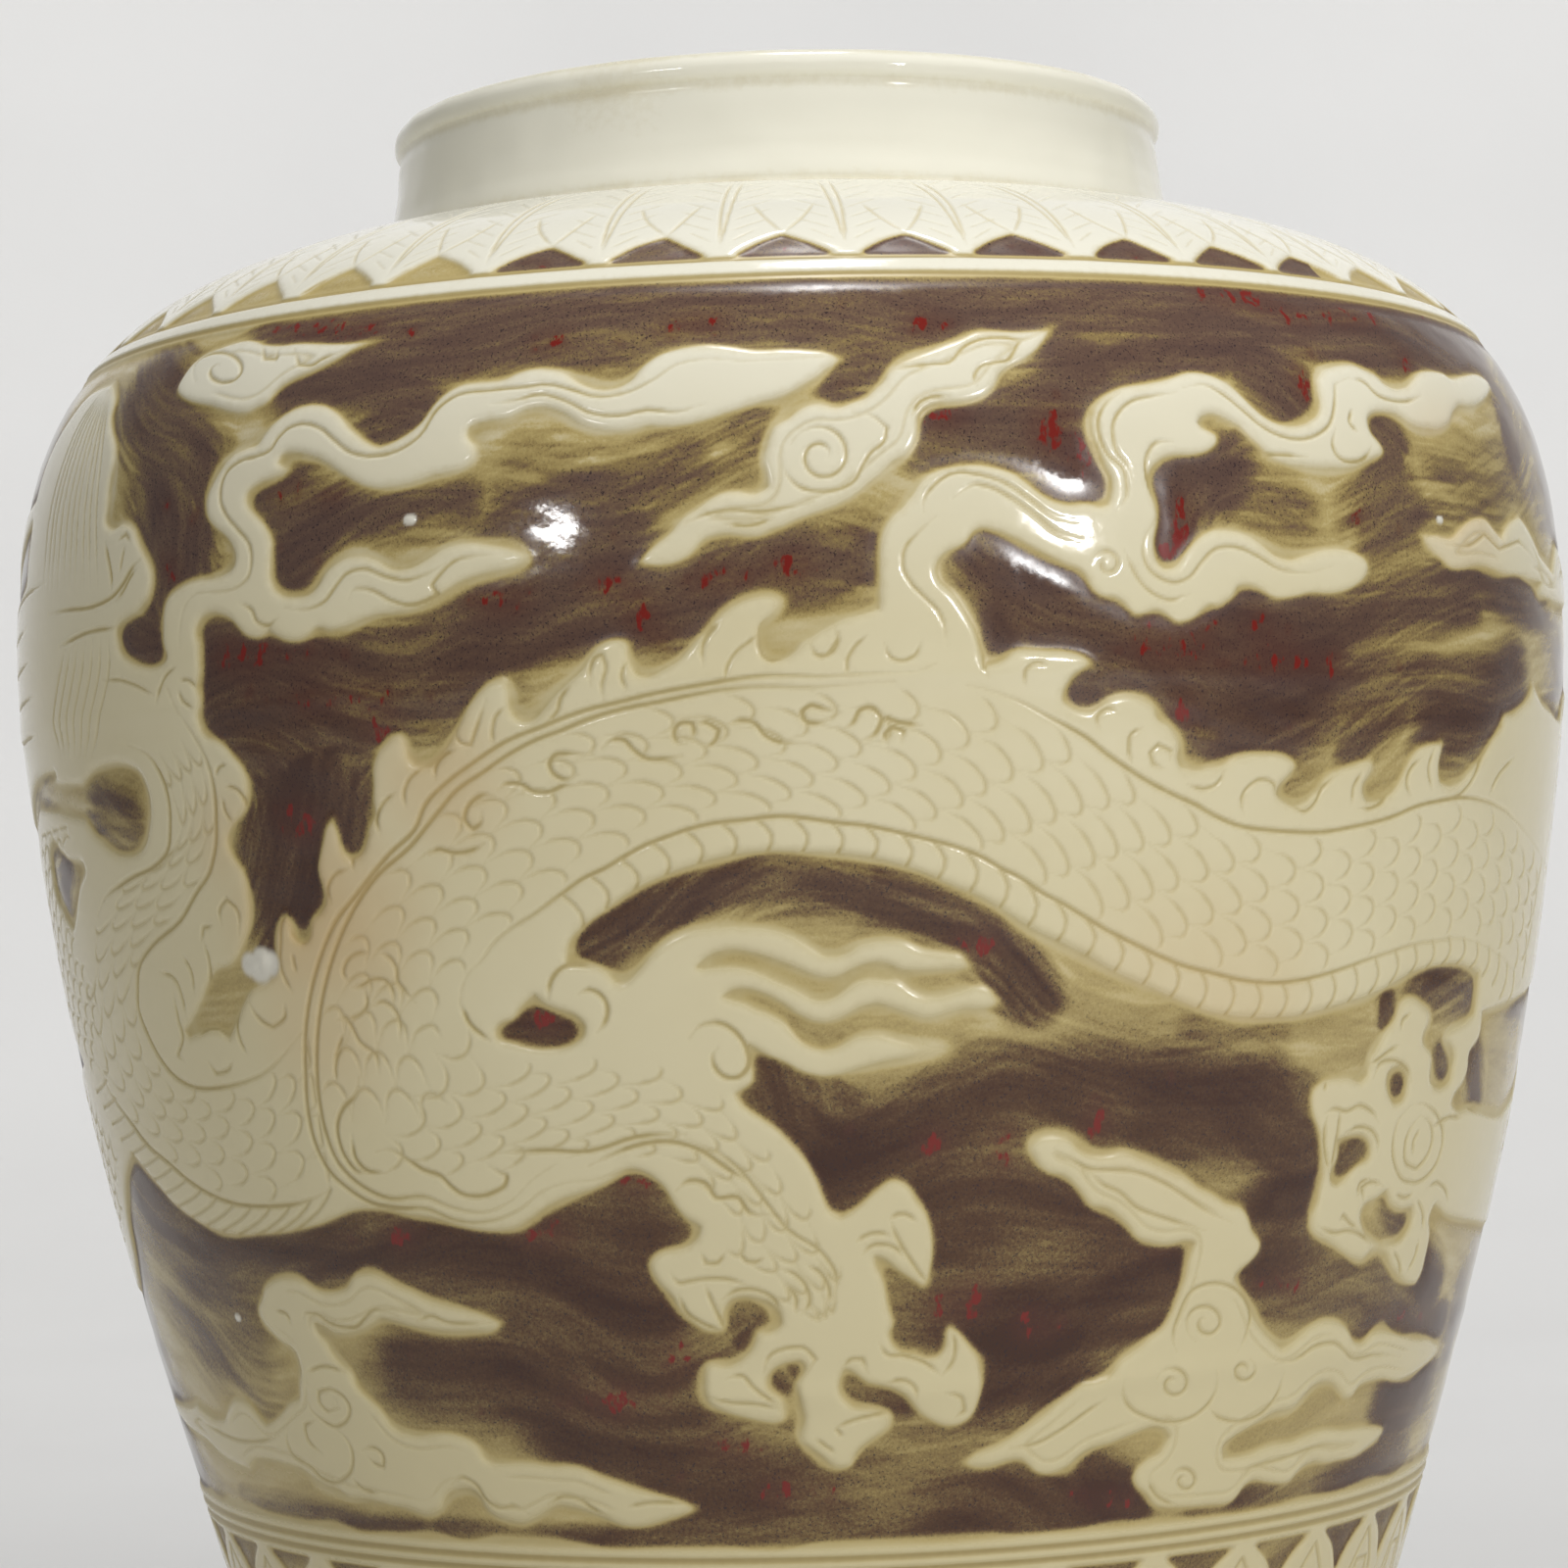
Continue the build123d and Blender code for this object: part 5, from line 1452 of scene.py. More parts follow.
# Angles between which the wedges over the shoulder's leaves are painted dark in front
PAINTED_WEDGES = (-22.5, 45)
# Angles over which the wash goes from the strokes seen in front to the drifts behind
BEHIND = (64, 74)
# Angle from which the two ends of a texture are blended at the back
SEAM_FROM = 160
# How far streaks waver, over which length, and in how many ways hairs are worked out
WAVER = 15.0
WAVER_LENGTH = 40.0
HAIR_WAYS = 8
# Red drops off the clusters: over the whole field, and at each painted leaf's tip; and how they lean
STRAY_FLECKS = 900
LEAF_FLECKS = 9
DRIP_LEAN = 1.3

# Where the wash lies: the strokes in front, broad seeded drifts behind, and the way the brush ran
around = 2 * math.pi * FLAT_RADIUS
density = layer()
run_x = layer() + 0.25
run_y = layer() + 0.06
for strength, half, path in DARK_STROKES:
    places = seen(smooth(path))
    for k, window, _, away, _ in windows(places, half * 2.4):
        stroke = strength * (1 - ramp(away, half * 0.35, half * 1.9))
        density[window] = np.maximum(density[window], stroke)
        turn = math.radians(places[k + 1, 0] - places[k, 0]) * radius_at(places[k, 1])
        heading = 2 * math.atan2(places[k + 1, 1] - places[k, 1], turn)
        pull = 0.25 * (1 - ramp(away, half * 0.4, half * 2.4))
        run_x[window] += pull * math.cos(heading)
        run_y[window] += pull * math.sin(heading)
run_x = blur(run_x, 5)
run_y = blur(run_y, 5)


def wavering(x, y):
    """Places on the opened-out wall, in millimetres, shifted about so that streaks waver."""
    shift_x = WAVER * (grain(x / WAVER_LENGTH, y / WAVER_LENGTH, 91) - 0.5)
    shift_y = WAVER * (grain(x / WAVER_LENGTH, y / WAVER_LENGTH, 92) - 0.5)
    return x + shift_x, y + shift_y


over_seam = np.abs(column_angles) > SEAM_FROM
seam_share = 0.5 * ramp(np.abs(column_angles[over_seam]), SEAM_FROM, 180)
front_places = wavering(flat_x + 0 * flat_y, flat_y + 0 * flat_x)
seam_places = wavering(
    (flat_x - np.sign(flat_x) * around)[:, over_seam] + 0 * flat_y, flat_y + 0 * flat_x[:, over_seam]
)


def wrapped(texture):
    """A sheet from a texture of (across, up) in millimetres, made to meet itself at the back."""
    sheet = texture(*front_places)
    other = texture(*seam_places)
    sheet[:, over_seam] = sheet[:, over_seam] * (1 - seam_share) + other * seam_share
    return sheet


def hairs(seed, wide, long):
    """Streaks as brush hairs leave them, along the way that the brush ran."""
    total = layer()
    weights = layer() + 1e-6
    size = np.hypot(run_x, run_y) + 1e-6
    for k in range(HAIR_WAYS):
        lean = math.pi * k / HAIR_WAYS
        near = (1 + (run_x * math.cos(2 * lean) + run_y * math.sin(2 * lean)) / size) / 2
        near = near**8
        total += near * wrapped(lambda x, y: grain(
            (x * math.cos(lean) + y * math.sin(lean)) / long,
            (y * math.cos(lean) - x * math.sin(lean)) / wide, seed + k))
        weights += near
    return total / weights


# How much wash lies where: slow drifts of it, and the fine and the broad hairs of the brush
behind = ramp(np.abs(column_angles), *BEHIND)[None, :]
drift = wrapped(lambda x, y: grain(x / 45, y / 26, 31) * 0.65 + grain(x / 16, y / 10, 32) * 0.35)
fine_hairs = np.clip((hairs(33, 1.5, 20) * 0.6 + hairs(60, 0.7, 9) * 0.4 - 0.5) * 2.6, -0.5, 0.5)
broad_hairs = np.clip((hairs(80, 5.0, 38) - 0.5) * 2.4, -0.5, 0.5)
streak = np.clip(0.5 + 0.4 * fine_hairs + 0.7 * broad_hairs, 0, 1)
density = density * (1 - behind) + behind * ramp(drift, 0.25, 0.55) * 1.05
# The brush keeps off the figures and the lines at the foot, closer here and wider there
low_edge = (1 - field) * (row_heights < 250)[:, None]
beside_figure = blur(np.maximum(figures, low_edge), 3.2)
closeness = wrapped(lambda x, y: grain(x / 14, y / 14, 35)) - 0.5
keep_off = 1 - 0.72 * ramp(beside_figure + 0.16 * (streak - 0.5) + 0.55 * closeness, 0.20, 0.48)
# The wash is a little thinner high on the wall, and its hairs show less low on it
thinner_high = (1 - 0.13 * ramp(row_heights, 250, 390))[:, None]
low = (1 - ramp(row_heights, 190, 260))[:, None]
hairiness = 1 - 0.58 * low
fine_share = hairiness * (0.12 + 0.20 * density + 0.6 * density * np.clip(1 - density, 0, 1))
broad_share = 0.12 + 0.20 * density
pigment = 0.22 + (0.61 - 0.07 * low) * density + fine_share * fine_hairs + broad_share * broad_hairs
pigment += (0.34 + 0.36 * low) * (drift - 0.5) * ramp(density, 0.1, 0.6)
pigment *= keep_off * thinner_high
pigment = np.clip(pigment, 0, 1.2) * soft_ground
# Between the leaves' and the petals' tips the wedges have their own paint
painted = (column_angles > PAINTED_WEDGES[0]) & (column_angles < PAINTED_WEDGES[1])
painted = np.maximum(painted, behind[0] * 0.8)[None, :].astype(np.float32)
wedge_paint = ramp(blur(wedges, 0.8), 0.25, 0.8) * (0.75 + 0.35 * (streak - 0.5))
upper = (row_heights > 300)[:, None]
wedge_paint = wedge_paint * np.where(upper, 0.30 + 0.62 * painted, 0.40 + 0.4 * drift)
pigment = np.maximum(pigment * (1 - ramp(wedges, 0, 0.5)), wedge_paint)

# Ochre glaze pools in the cuts and against the figures' edges
pool = np.clip(0.62 * lines + 0.55 * edge_shade + 0.30 * round_edge + 0.25 * blur(lines, 1.5), 0, 1)
warm = layer()
for centre, size, strength in WARM_SPOTS:
    spot = seen([centre])[0]
    for _, window, _, away, _ in windows([spot, spot + (0.5, 0)], size):
        warm[window] = np.maximum(warm[window], strength * (1 - ramp(away, size * 0.1, size)))

red = layer()
white = layer()


def fleck(place, long, wide, lean, strength):
    """A drop of red: a few dots that run into each other along a short way."""
    way = np.array([np.degrees(long / radius_at(place[1])) * math.cos(lean), long * math.sin(lean)])
    for share in np.linspace(-0.5, 0.5, max(int(long / wide), 1) + 1):
        size = wide * chance.uniform(0.55, 1.1)
        spot = place + way * share + (chance.normal() * 0.05, chance.normal() * 0.15)
        for _, window, _, away, _ in windows([spot, spot + (0.03, 0)], size):
            red[window] = np.maximum(red[window], strength * (1 - ramp(away, size * 0.3, size)))


for number, across, down, middle in RED_CLUSTERS:
    flat_spread = 0.8 if across > down else 0.5
    tall_spread = 0.3 if across > down else 0.6
    spread = (across * flat_spread, down * tall_spread)
    smears = 1 + number // 9
    for k, place in enumerate(seen(np.array(middle) + chance.normal(size=(number, 2)) * spread)):
        long, wide = abs(chance.normal()) * 1.5 + 0.5, chance.uniform(0.4, 1.15)
        if k < smears:
            long, wide = long + 1.8, wide + 0.7
        fleck(place, long, wide, DRIP_LEAN + chance.normal() * 0.35, chance.uniform(0.45, 1))
for _ in range(STRAY_FLECKS):
    place = np.array([chance.uniform(-180, 180), chance.uniform(FIELD_BOTTOM, FIELD_TOP)])
    fleck(place, abs(chance.normal()) * 0.9 + 0.3, chance.uniform(0.3, 0.7),
          DRIP_LEAN + chance.normal() * 0.4, chance.uniform(0.3, 0.8))
for k in range(LEAVES):
    column = int((k * leaf_pitch + 180) % 360 / column_step) % COLUMNS
    if painted[0, column] > 0.5:
        for _ in range(LEAF_FLECKS):
            angle = k * leaf_pitch + chance.normal() * 1.4
            place = np.array([angle, leaf_tip + abs(chance.normal()) * 3.5])
            fleck(place, abs(chance.normal()) * 1.5 + 0.3, chance.uniform(0.4, 0.9),
                  chance.normal() * 0.6, chance.uniform(0.5, 1))
red = np.clip(blur(red, 1.1) * 1.6, 0, 0.60)
red = np.maximum(red, np.clip(blur(red, 5.0) * 1.6, 0, 0.30))
red *= ramp(pigment, 0.3, 0.55)
for x, y, size in WHITE_SPOTS:
    spot = seen([(x, y)])[0]
    for _, window, _, away, _ in windows([spot, spot + (0.3, 0)], size * 1.2):
        white[window] = np.maximum(white[window], 1 - ramp(away, size * 0.6, size * 1.2))
        sunk[window] -= 0.35 * (1 - ramp(away, 0, size))


# Meshes
def metres(radius, height, angle):
    """Points in the model's frame from radius, height and angle."""
    turned = np.radians(angle)
    places = [radius * np.sin(turned), -radius * np.cos(turned), height + 0 * turned]
    return np.stack(places, axis=-1) * MM


def tube(name, rings, angles, closed, sheets=None, first_painted=0, sharp=()):
    """A mesh of rings of points, joined into a tube, with painted sheets as its attributes.

    rings is an array of rows x columns x 3. A closed tube also joins its last ring to its first;
    an open one gets a fan at each end.
    """
    rows, columns = rings.shape[:2]
    points = rings.reshape(-1, 3)
    row = np.arange(rows if closed else rows - 1)
    i, j = np.meshgrid(row, np.arange(columns), indexing="ij")
    after, beyond = (i + 1) % rows, (j + 1) % columns
    corners = [i * columns + j, i * columns + beyond, after * columns + beyond, after * columns + j]
    loops = np.stack(corners, axis=-1).ravel()
    starts = np.arange(0, len(loops), 4)
    if not closed:
        ends = np.concatenate([np.arange(columns)[::-1], (rows - 1) * columns + np.arange(columns)])
        starts = np.concatenate([starts, [len(loops), len(loops) + columns]])
        loops = np.concatenate([loops, ends])
    mesh = bpy.data.meshes.new(name)
    mesh.vertices.add(len(points))
    mesh.vertices.foreach_set("co", points.astype(np.float32).ravel())
    mesh.loops.add(len(loops))
    mesh.loops.foreach_set("vertex_index", loops.astype(np.int32))
    mesh.polygons.add(len(starts))
    mesh.polygons.foreach_set("loop_start", starts.astype(np.int32))
    mesh.update(calc_edges=True)
    mesh.polygons.foreach_set("use_smooth", np.ones(len(starts), bool))
    across = np.stack([j, j + 1, j + 1, j], axis=-1).reshape(-1) / columns
    along = np.stack([i, i, i + 1, i + 1], axis=-1).reshape(-1) / len(row)
    unwrapped = mesh.uv_layers.new(name="OFBake")
    flat = np.zeros((len(loops), 2), np.float32)
    flat[:len(across), 0] = across * 0.98 + 0.01
    flat[:len(across), 1] = along * 0.98 + 0.01
    unwrapped.data.foreach_set("uv", flat.ravel())
    for label, sheet in (sheets or {}).items():
        values = np.zeros((rows, columns), np.float32)
        values[first_painted:first_painted + len(sheet)] = sheet
        mesh.attributes.new(label, "FLOAT", "POINT").data.foreach_set("value", values.ravel())
    if len(sharp):
        edges = np.empty(len(mesh.edges) * 2, np.int32)
        mesh.edges.foreach_get("vertices", edges)
        edge_rows = edges.reshape(-1, 2) // columns
        hard = np.isin(edge_rows[:, 0], sharp) & (edge_rows[:, 0] == edge_rows[:, 1])
        mesh.attributes.new("sharp_edge", "BOOLEAN", "EDGE").data.foreach_set("value", hard)
    piece = bpy.data.objects.new(name, mesh)
    bpy.context.scene.collection.objects.link(piece)
    return piece


def lathed(profile, columns):
    """Rings of a plain turned shape from its outline."""
    angles = np.linspace(-180, 180, columns, endpoint=False)
    profile = np.asarray(profile, float)
    return metres(profile[:, :1], profile[:, 1:], angles[None, :]), angles


def inner_face(node):
    """The outline of a wall node's inside, from its top down."""
    points = seam(node)
    inside = points[points[:, 0] < radius_at(points[:, 1]) - 5]
    return inside[::-1]


# The three carved wall sections: the edge where the shoulder meets the neck, and where seats begin
RIM_RADIUS = 109.4
RIM_CORNER = (108.9, 447.1)
FILLET_FOOT = 445.61
FILLET_RADIUS = 109.3
NECK_SEAT_FOOT = 439.6
GIRTH_SEAT_RADIUS = 205
SEAT_DEPTH = 8
shoulder_seam = seam("shoulder")
neck_joint = (shoulder_seam[shoulder_seam[:, 0] > RIM_RADIUS][-1] + np.array(RIM_CORNER)) / 2
carved = grid.astype(np.float64)
upward = np.gradient(carved, axis=0)
turned = np.radians(column_angles)
across = np.stack([np.cos(turned), np.sin(turned), 0 * turned], axis=1)
normals = np.cross(across[None], upward)
normals /= np.linalg.norm(normals, axis=2, keepdims=True)
ends = np.ones(ROWS)
ends[0] = ends[-1] = 0
carved = carved - normals * (sunk * ends[:, None])[..., None]
# The glaze ends in a wandering edge over the foot, and leaves bare clay below it
glaze_edge = row_heights[:, None] + 6 * (grain(flat_x / 20, flat_y * 0 + 3, 41) - 0.5)
glaze_edge = glaze_edge + 2.5 * (grain(flat_x / 6, flat_y * 0 + 9, 42) - 0.5)
bare = 1 - ramp(glaze_edge, 47.5, 48.3)
painted_sheets = {
    "pool": pool, "pigment": pigment, "red": red, "white": white, "warm": warm, "bare": bare,
}
wall_pieces = []
for node, (first_row, end_row) in zip(WALL_NODES, node_rows):
    rings = [carved[first_row:end_row + 1] * MM]
    inner = inner_face(node)
    if node == "shoulder":
        above_wall = (shoulder_seam[:, 1] > FILLET_FOOT) & (shoulder_seam[:, 0] > FILLET_RADIUS)
        rings.append(lathed(np.vstack([shoulder_seam[above_wall], [neck_joint]]), COLUMNS)[0])
        inner = inner[(inner[:, 0] < GIRTH_SEAT_RADIUS) & (inner[:, 1] < NECK_SEAT_FOOT)]
    else:
        inner = inner[inner[:, 0] < radius_at(inner[:, 1]) - SEAT_DEPTH]
    rings.append(lathed(inner, COLUMNS)[0])
    sheets = {label: sheet[first_row:end_row + 1] for label, sheet in painted_sheets.items()}
    rings = np.concatenate(rings)
    outer_rows = len(rings) - len(inner)
    sharp = (0, outer_rows - 1, outer_rows, len(rings) - 1)
    piece = tube(node + "_carved", rings, column_angles, True, sheets, sharp=sharp)
    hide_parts(node)
    wall_pieces.append(piece)

# Neck with its lip
NECK_COLUMNS = 720
NECK_FOOT = 447.0
LIP_CREST_RADIUS = 101.35
LIP_FOOT = 470
NECK_INSIDE_RADIUS = 99
LIP_HOLLOW = 473.6
LIP_TOP = 481.0
neck_points = seam("neck")
out_of_crest = neck_points[:, 0] > LIP_CREST_RADIUS
neck_outer = neck_points[out_of_crest & (neck_points[:, 1] > NECK_FOOT)]
inside_face = (neck_points[:, 1] > LIP_FOOT) | (neck_points[:, 0] < NECK_INSIDE_RADIUS)
neck_inner = neck_points[~out_of_crest & inside_face][::-1]
neck_profile = np.vstack([[neck_joint], neck_outer, neck_inner])
neck_profile = smooth(neck_profile, parts=4, corner=80)
neck_rings, neck_angles = lathed(neck_profile, NECK_COLUMNS)
neck_run = run_along(neck_profile)
wander = grain(neck_angles[None, :] * LATTICE / 360 + LATTICE / 2, neck_run[:, None] / 9, 51) - 0.5
turned_marks = grain(np.radians(neck_angles)[None, :] * 1.2 + 40, neck_run[:, None] / 2.2, 52) - 0.5
# The wavering dies away towards the two ends, so that they meet their neighbours
hold = ramp(neck_run, 0.5, 6) * (1 - ramp(neck_run, neck_run[-1] - 6, neck_run[-1] - 0.5))
hold = hold[:, None]
neck_radius = np.hypot(neck_rings[..., 0], neck_rings[..., 1])
neck_rings[..., :2] *= (1 + hold * (0.5 * wander + 0.14 * turned_marks) * MM / neck_radius)[..., None]
heights = neck_profile[:, 1]
outside = np.arange(len(neck_profile)) < np.argmax(heights)
# Ochre on the neck: glaze pooled at the neck's foot and on the rim; under the lip it is both pooled
# glaze and painted shade
under_lip = np.exp(-((heights - LIP_HOLLOW) / 1.6)**2) * outside
neck_base = (1 - ramp(heights, NECK_FOOT, NECK_FOOT + 5)) * outside
rim = np.exp(-((heights - LIP_TOP) / 0.8)**2)
neck_pool_and_shade = (0.20 * under_lip + 0.30 * neck_base + 0.18 * rim)[:, None] * (0.8 + 0.5 * wander)
drips = ramp(grain(np.radians(neck_angles)[None, :] * 5 + 7, heights[:, None] * 0 + 2, 53), 0.55, 0.9)
drips = drips * (ramp(heights, 452, 474) * outside)[:, None] * 0.10
neck_sheets = {label: np.zeros(neck_rings.shape[:2]) for label in painted_sheets}
neck_sheets["pool"] = np.clip(neck_pool_and_shade + drips, 0, 1)
sharp = (0, len(neck_rings) - 1)
neck_piece = tube("neck_glazed", neck_rings, neck_angles, True, neck_sheets, sharp=sharp)
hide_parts("neck")

# Base dish with its foot ring
TURNED_COLUMNS = 480
AXIS_RADIUS = 0.6
FLOOR_UNDER = 9.0
FLOOR_TOP = 22.0
FOOT_RING = [
    (118, 2.3), (118.6, 1.1), (119.6, 0.35), (121, 0), (129, 0), (130.6, 0.35), (131.6, 1.2),
    (132, 2.4), (132, 11.4), (132.3, 11.9), (133.0, 12.1),
]
base_points = seam("base_dish")
underside = base_points[(base_points[:, 1] < FLOOR_UNDER + 0.5) & (base_points[:, 0] < 118.5)]
underside = underside[np.argsort(underside[:, 0])]
foot_profile = [(AXIS_RADIUS, FLOOR_UNDER), (60, FLOOR_UNDER), (112, FLOOR_UNDER)]
foot_profile += [tuple(point) for point in underside[underside[:, 1] > 5.5]]
foot_profile += FOOT_RING
outer_base = [(radius_at(height), height) for height in np.linspace(14, joint_heights[0], 14)]
inner_base = base_points[(base_points[:, 1] > FLOOR_TOP - 0.1) & (base_points[:, 0] < 122.4)]
inner_base = inner_base[np.argsort(-inner_base[:, 1])]
floor_profile = [tuple(point) for point in inner_base] + [(60, FLOOR_TOP), (AXIS_RADIUS, FLOOR_TOP)]
base_profile = np.array(foot_profile + outer_base + floor_profile)
base_rings, base_angles = lathed(base_profile, TURNED_COLUMNS)
base_piece = tube("base_dish_turned", base_rings, base_angles, False)
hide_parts("base_dish")

# Slip rings: a thin tongue in each joint and the bead smoothed over it inside
SLIP_INSET = 4.0
BEAD_PROUD = 2.0
BEAD_HALF_HEIGHT = 8.0
BASE_SEAT_FOOT = 40
JOINTS = [
    ("base_slip_ring", "base_dish", "lower_body"),
    ("lower_slip_ring", "lower_body", "middle_body"),
    ("girth_slip_ring", "middle_body", "shoulder"),
]
slip_pieces = []
for (name, below, above), outer_height in zip(JOINTS, joint_heights):
    if below == "base_dish":
        below_face = base_points[base_points[:, 1] > BASE_SEAT_FOOT]
    else:
        below_face = inner_face(below)
    top = below_face[np.argmax(below_face[:, 1])]
    above_inner = inner_face(above)
    bottom = above_inner[np.argmin(above_inner[:, 1])]
    joint = (top + bottom) / 2
    uphill = above_inner[-3] - bottom
    uphill = uphill / np.linalg.norm(uphill)
    inward = np.array([-uphill[1], uphill[0]])
    outer_end = np.array([radius_at(outer_height), outer_height])
    tongue = joint - outer_end
    tongue = tongue / np.linalg.norm(tongue)
    outer_end = outer_end + tongue * SLIP_INSET
    thick = np.array([-tongue[1], tongue[0]]) * HALF_SLIP
    if thick[1] < 0:
        thick = -thick
    share = np.linspace(1, -1, 15)[:, None]
    bead = joint + uphill * BEAD_HALF_HEIGHT * share + inward * BEAD_PROUD * (1 - share**2)
    profile = np.vstack([outer_end - thick, outer_end + thick, joint + thick, bead, joint - thick])
    rings, angles = lathed(profile, TURNED_COLUMNS)
    sharp = (0, 1, 2, 3, len(profile) - 2, len(profile) - 1)
    piece = tube(name + "_smoothed", rings, angles, True, sharp=sharp)
    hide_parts(name)
    slip_pieces.append(piece)

# The neck's slip ring, with its bead on the rounding under the neck
MOUTH_ROUND = 11.0
MOUTH_ROUND_CENTRE = (107.0, 447.6)
BEAD_ANGLE = 225
BEAD_HALF_ANGLE = 9
neck_slip = seam("neck_slip_ring")
slip_mid = neck_slip[(neck_slip[:, 0] > 103) & (neck_slip[:, 0] < 105)]
share = np.linspace(-1, 1, 9)
turned = np.radians(BEAD_ANGLE + BEAD_HALF_ANGLE * share)
bead_radius = (MOUTH_ROUND + 0.7 * (1 - share**2))[:, None]
slip_bead = MOUTH_ROUND_CENTRE + bead_radius * np.stack([np.cos(turned), np.sin(turned)], axis=1)
slip_profile = np.vstack([slip_mid, slip_bead])
rings, angles = lathed(slip_profile, TURNED_COLUMNS)
piece = tube("neck_slip_ring_smoothed", rings, angles, True)
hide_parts("neck_slip_ring")
slip_pieces.append(piece)
for piece in wall_pieces + [neck_piece, base_piece] + slip_pieces:
    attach(piece, "root")


# Materials
class Nodes:
    """A short way to write a material's node tree."""

    def __init__(self, name):
        self.material = bpy.data.materials.new(name)
        self.material.use_nodes = True
        self.tree = self.material.node_tree
        self.tree.nodes.clear()

    def add(self, kind, inputs=None, **settings):
        """A node with its settings and inputs; an input is a value or another node's output."""
        node = self.tree.nodes.new("ShaderNode" + kind)
        for key, value in settings.items():
            setattr(node, key, value)
        for key, value in (inputs or {}).items():
            socket = node.inputs[key]
            if isinstance(value, bpy.types.NodeSocket):
                self.tree.links.new(value, socket)
            else:
                socket.default_value = value
        return node

    def attribute(self, name):
        """A painted sheet of the mesh."""
        return self.add("Attribute", attribute_name=name).outputs["Fac"]

    def math(self, operation, first, second=0.5, third=0.5):
        """One sum."""
        return self.add("Math", {0: first, 1: second, 2: third}, operation=operation).outputs[0]

    def span(self, value, low, high, to_low=0.0, to_high=1.0):
        """A value's range carried over to another, and held at its ends."""
        return self.add("MapRange", {0: value, 1: low, 2: high, 3: to_low, 4: to_high}).outputs[0]

    def mix(self, share, first, second):
        """A blend of two colours."""
        node = self.add("Mix", data_type="RGBA")
        for key, value in ((0, share), (6, first), (7, second)):
            if isinstance(value, bpy.types.NodeSocket):
                self.tree.links.new(value, node.inputs[key])
            elif key == 0:
                node.inputs[key].default_value = value
            else:
                node.inputs[key].default_value = (*value, 1)
        return node.outputs[2]

    def noise(self, scale, detail=3.0, roughness=0.5, stretch=(1, 1, 1)):
        """Fine variation through the material, in metres."""
        place = self.add("TexCoord").outputs["Object"]
        if stretch != (1, 1, 1):
            place = self.add("Mapping", {"Vector": place, "Scale": stretch}).outputs[0]
        inputs = {"Vector": place, "Scale": scale, "Detail": detail, "Roughness": roughness}
        return self.add("TexNoise", inputs).outputs["Fac"]

    def finish(self, colour, roughness, height, distance, strength=1.0, **more):
        """The surface itself."""
        relief = {"Height": height, "Distance": distance, "Strength": strength}
        bump = self.add("Bump", relief).outputs[0]
        inputs = {"Base Color": colour, "Roughness": roughness, "Normal": bump, **more}
        surface = self.add("BsdfPrincipled", inputs)
        output = self.add("OutputMaterial")
        self.tree.links.new(surface.outputs[0], output.inputs[0])
        return self.material


CREAM = (0.745, 0.675, 0.455)
CREAM_DEEP = (0.70, 0.62, 0.39)
# Paler cream for the top of the jar: painted light from above
CREAM_LIT_TOP = (0.83, 0.805, 0.685)
# Darker cream for the lower jar: painted shade, as the light falls from above
CREAM_SHADED_LOW = (0.66, 0.58, 0.345)
OCHRE = (0.36, 0.265, 0.095)
OCHRE_PALE = (0.52, 0.43, 0.205)
ORANGE = (0.58, 0.35, 0.13)
# How the wash darkens: (from strength, to strength, tone)
WASH_STEPS = [
    (0.02, 0.20, (0.49, 0.385, 0.155)),
    (0.18, 0.38, (0.29, 0.208, 0.072)),
    (0.36, 0.56, (0.165, 0.100, 0.038)),
    (0.52, 0.74, (0.092, 0.042, 0.017)),
    (0.74, 1.05, (0.050, 0.016, 0.006)),
]
BLACK = (0.018, 0.012, 0.018)
GREY_VEIL = (0.24, 0.18, 0.165)
BLOOD = (0.185, 0.013, 0.008)
BLOOD_DARK = (0.10, 0.028, 0.018)
WHITE = (0.74, 0.71, 0.61)
BUFF = (0.52, 0.37, 0.235)
BURNT = (0.33, 0.165, 0.085)
GRIT = (0.16, 0.09, 0.05)
SLIP_PALE = (0.62, 0.53, 0.31)
SLIP_DEEP = (0.47, 0.37, 0.19)
PAPER = (0.68, 0.675, 0.665)
PAPER_PALE = (0.71, 0.705, 0.695)


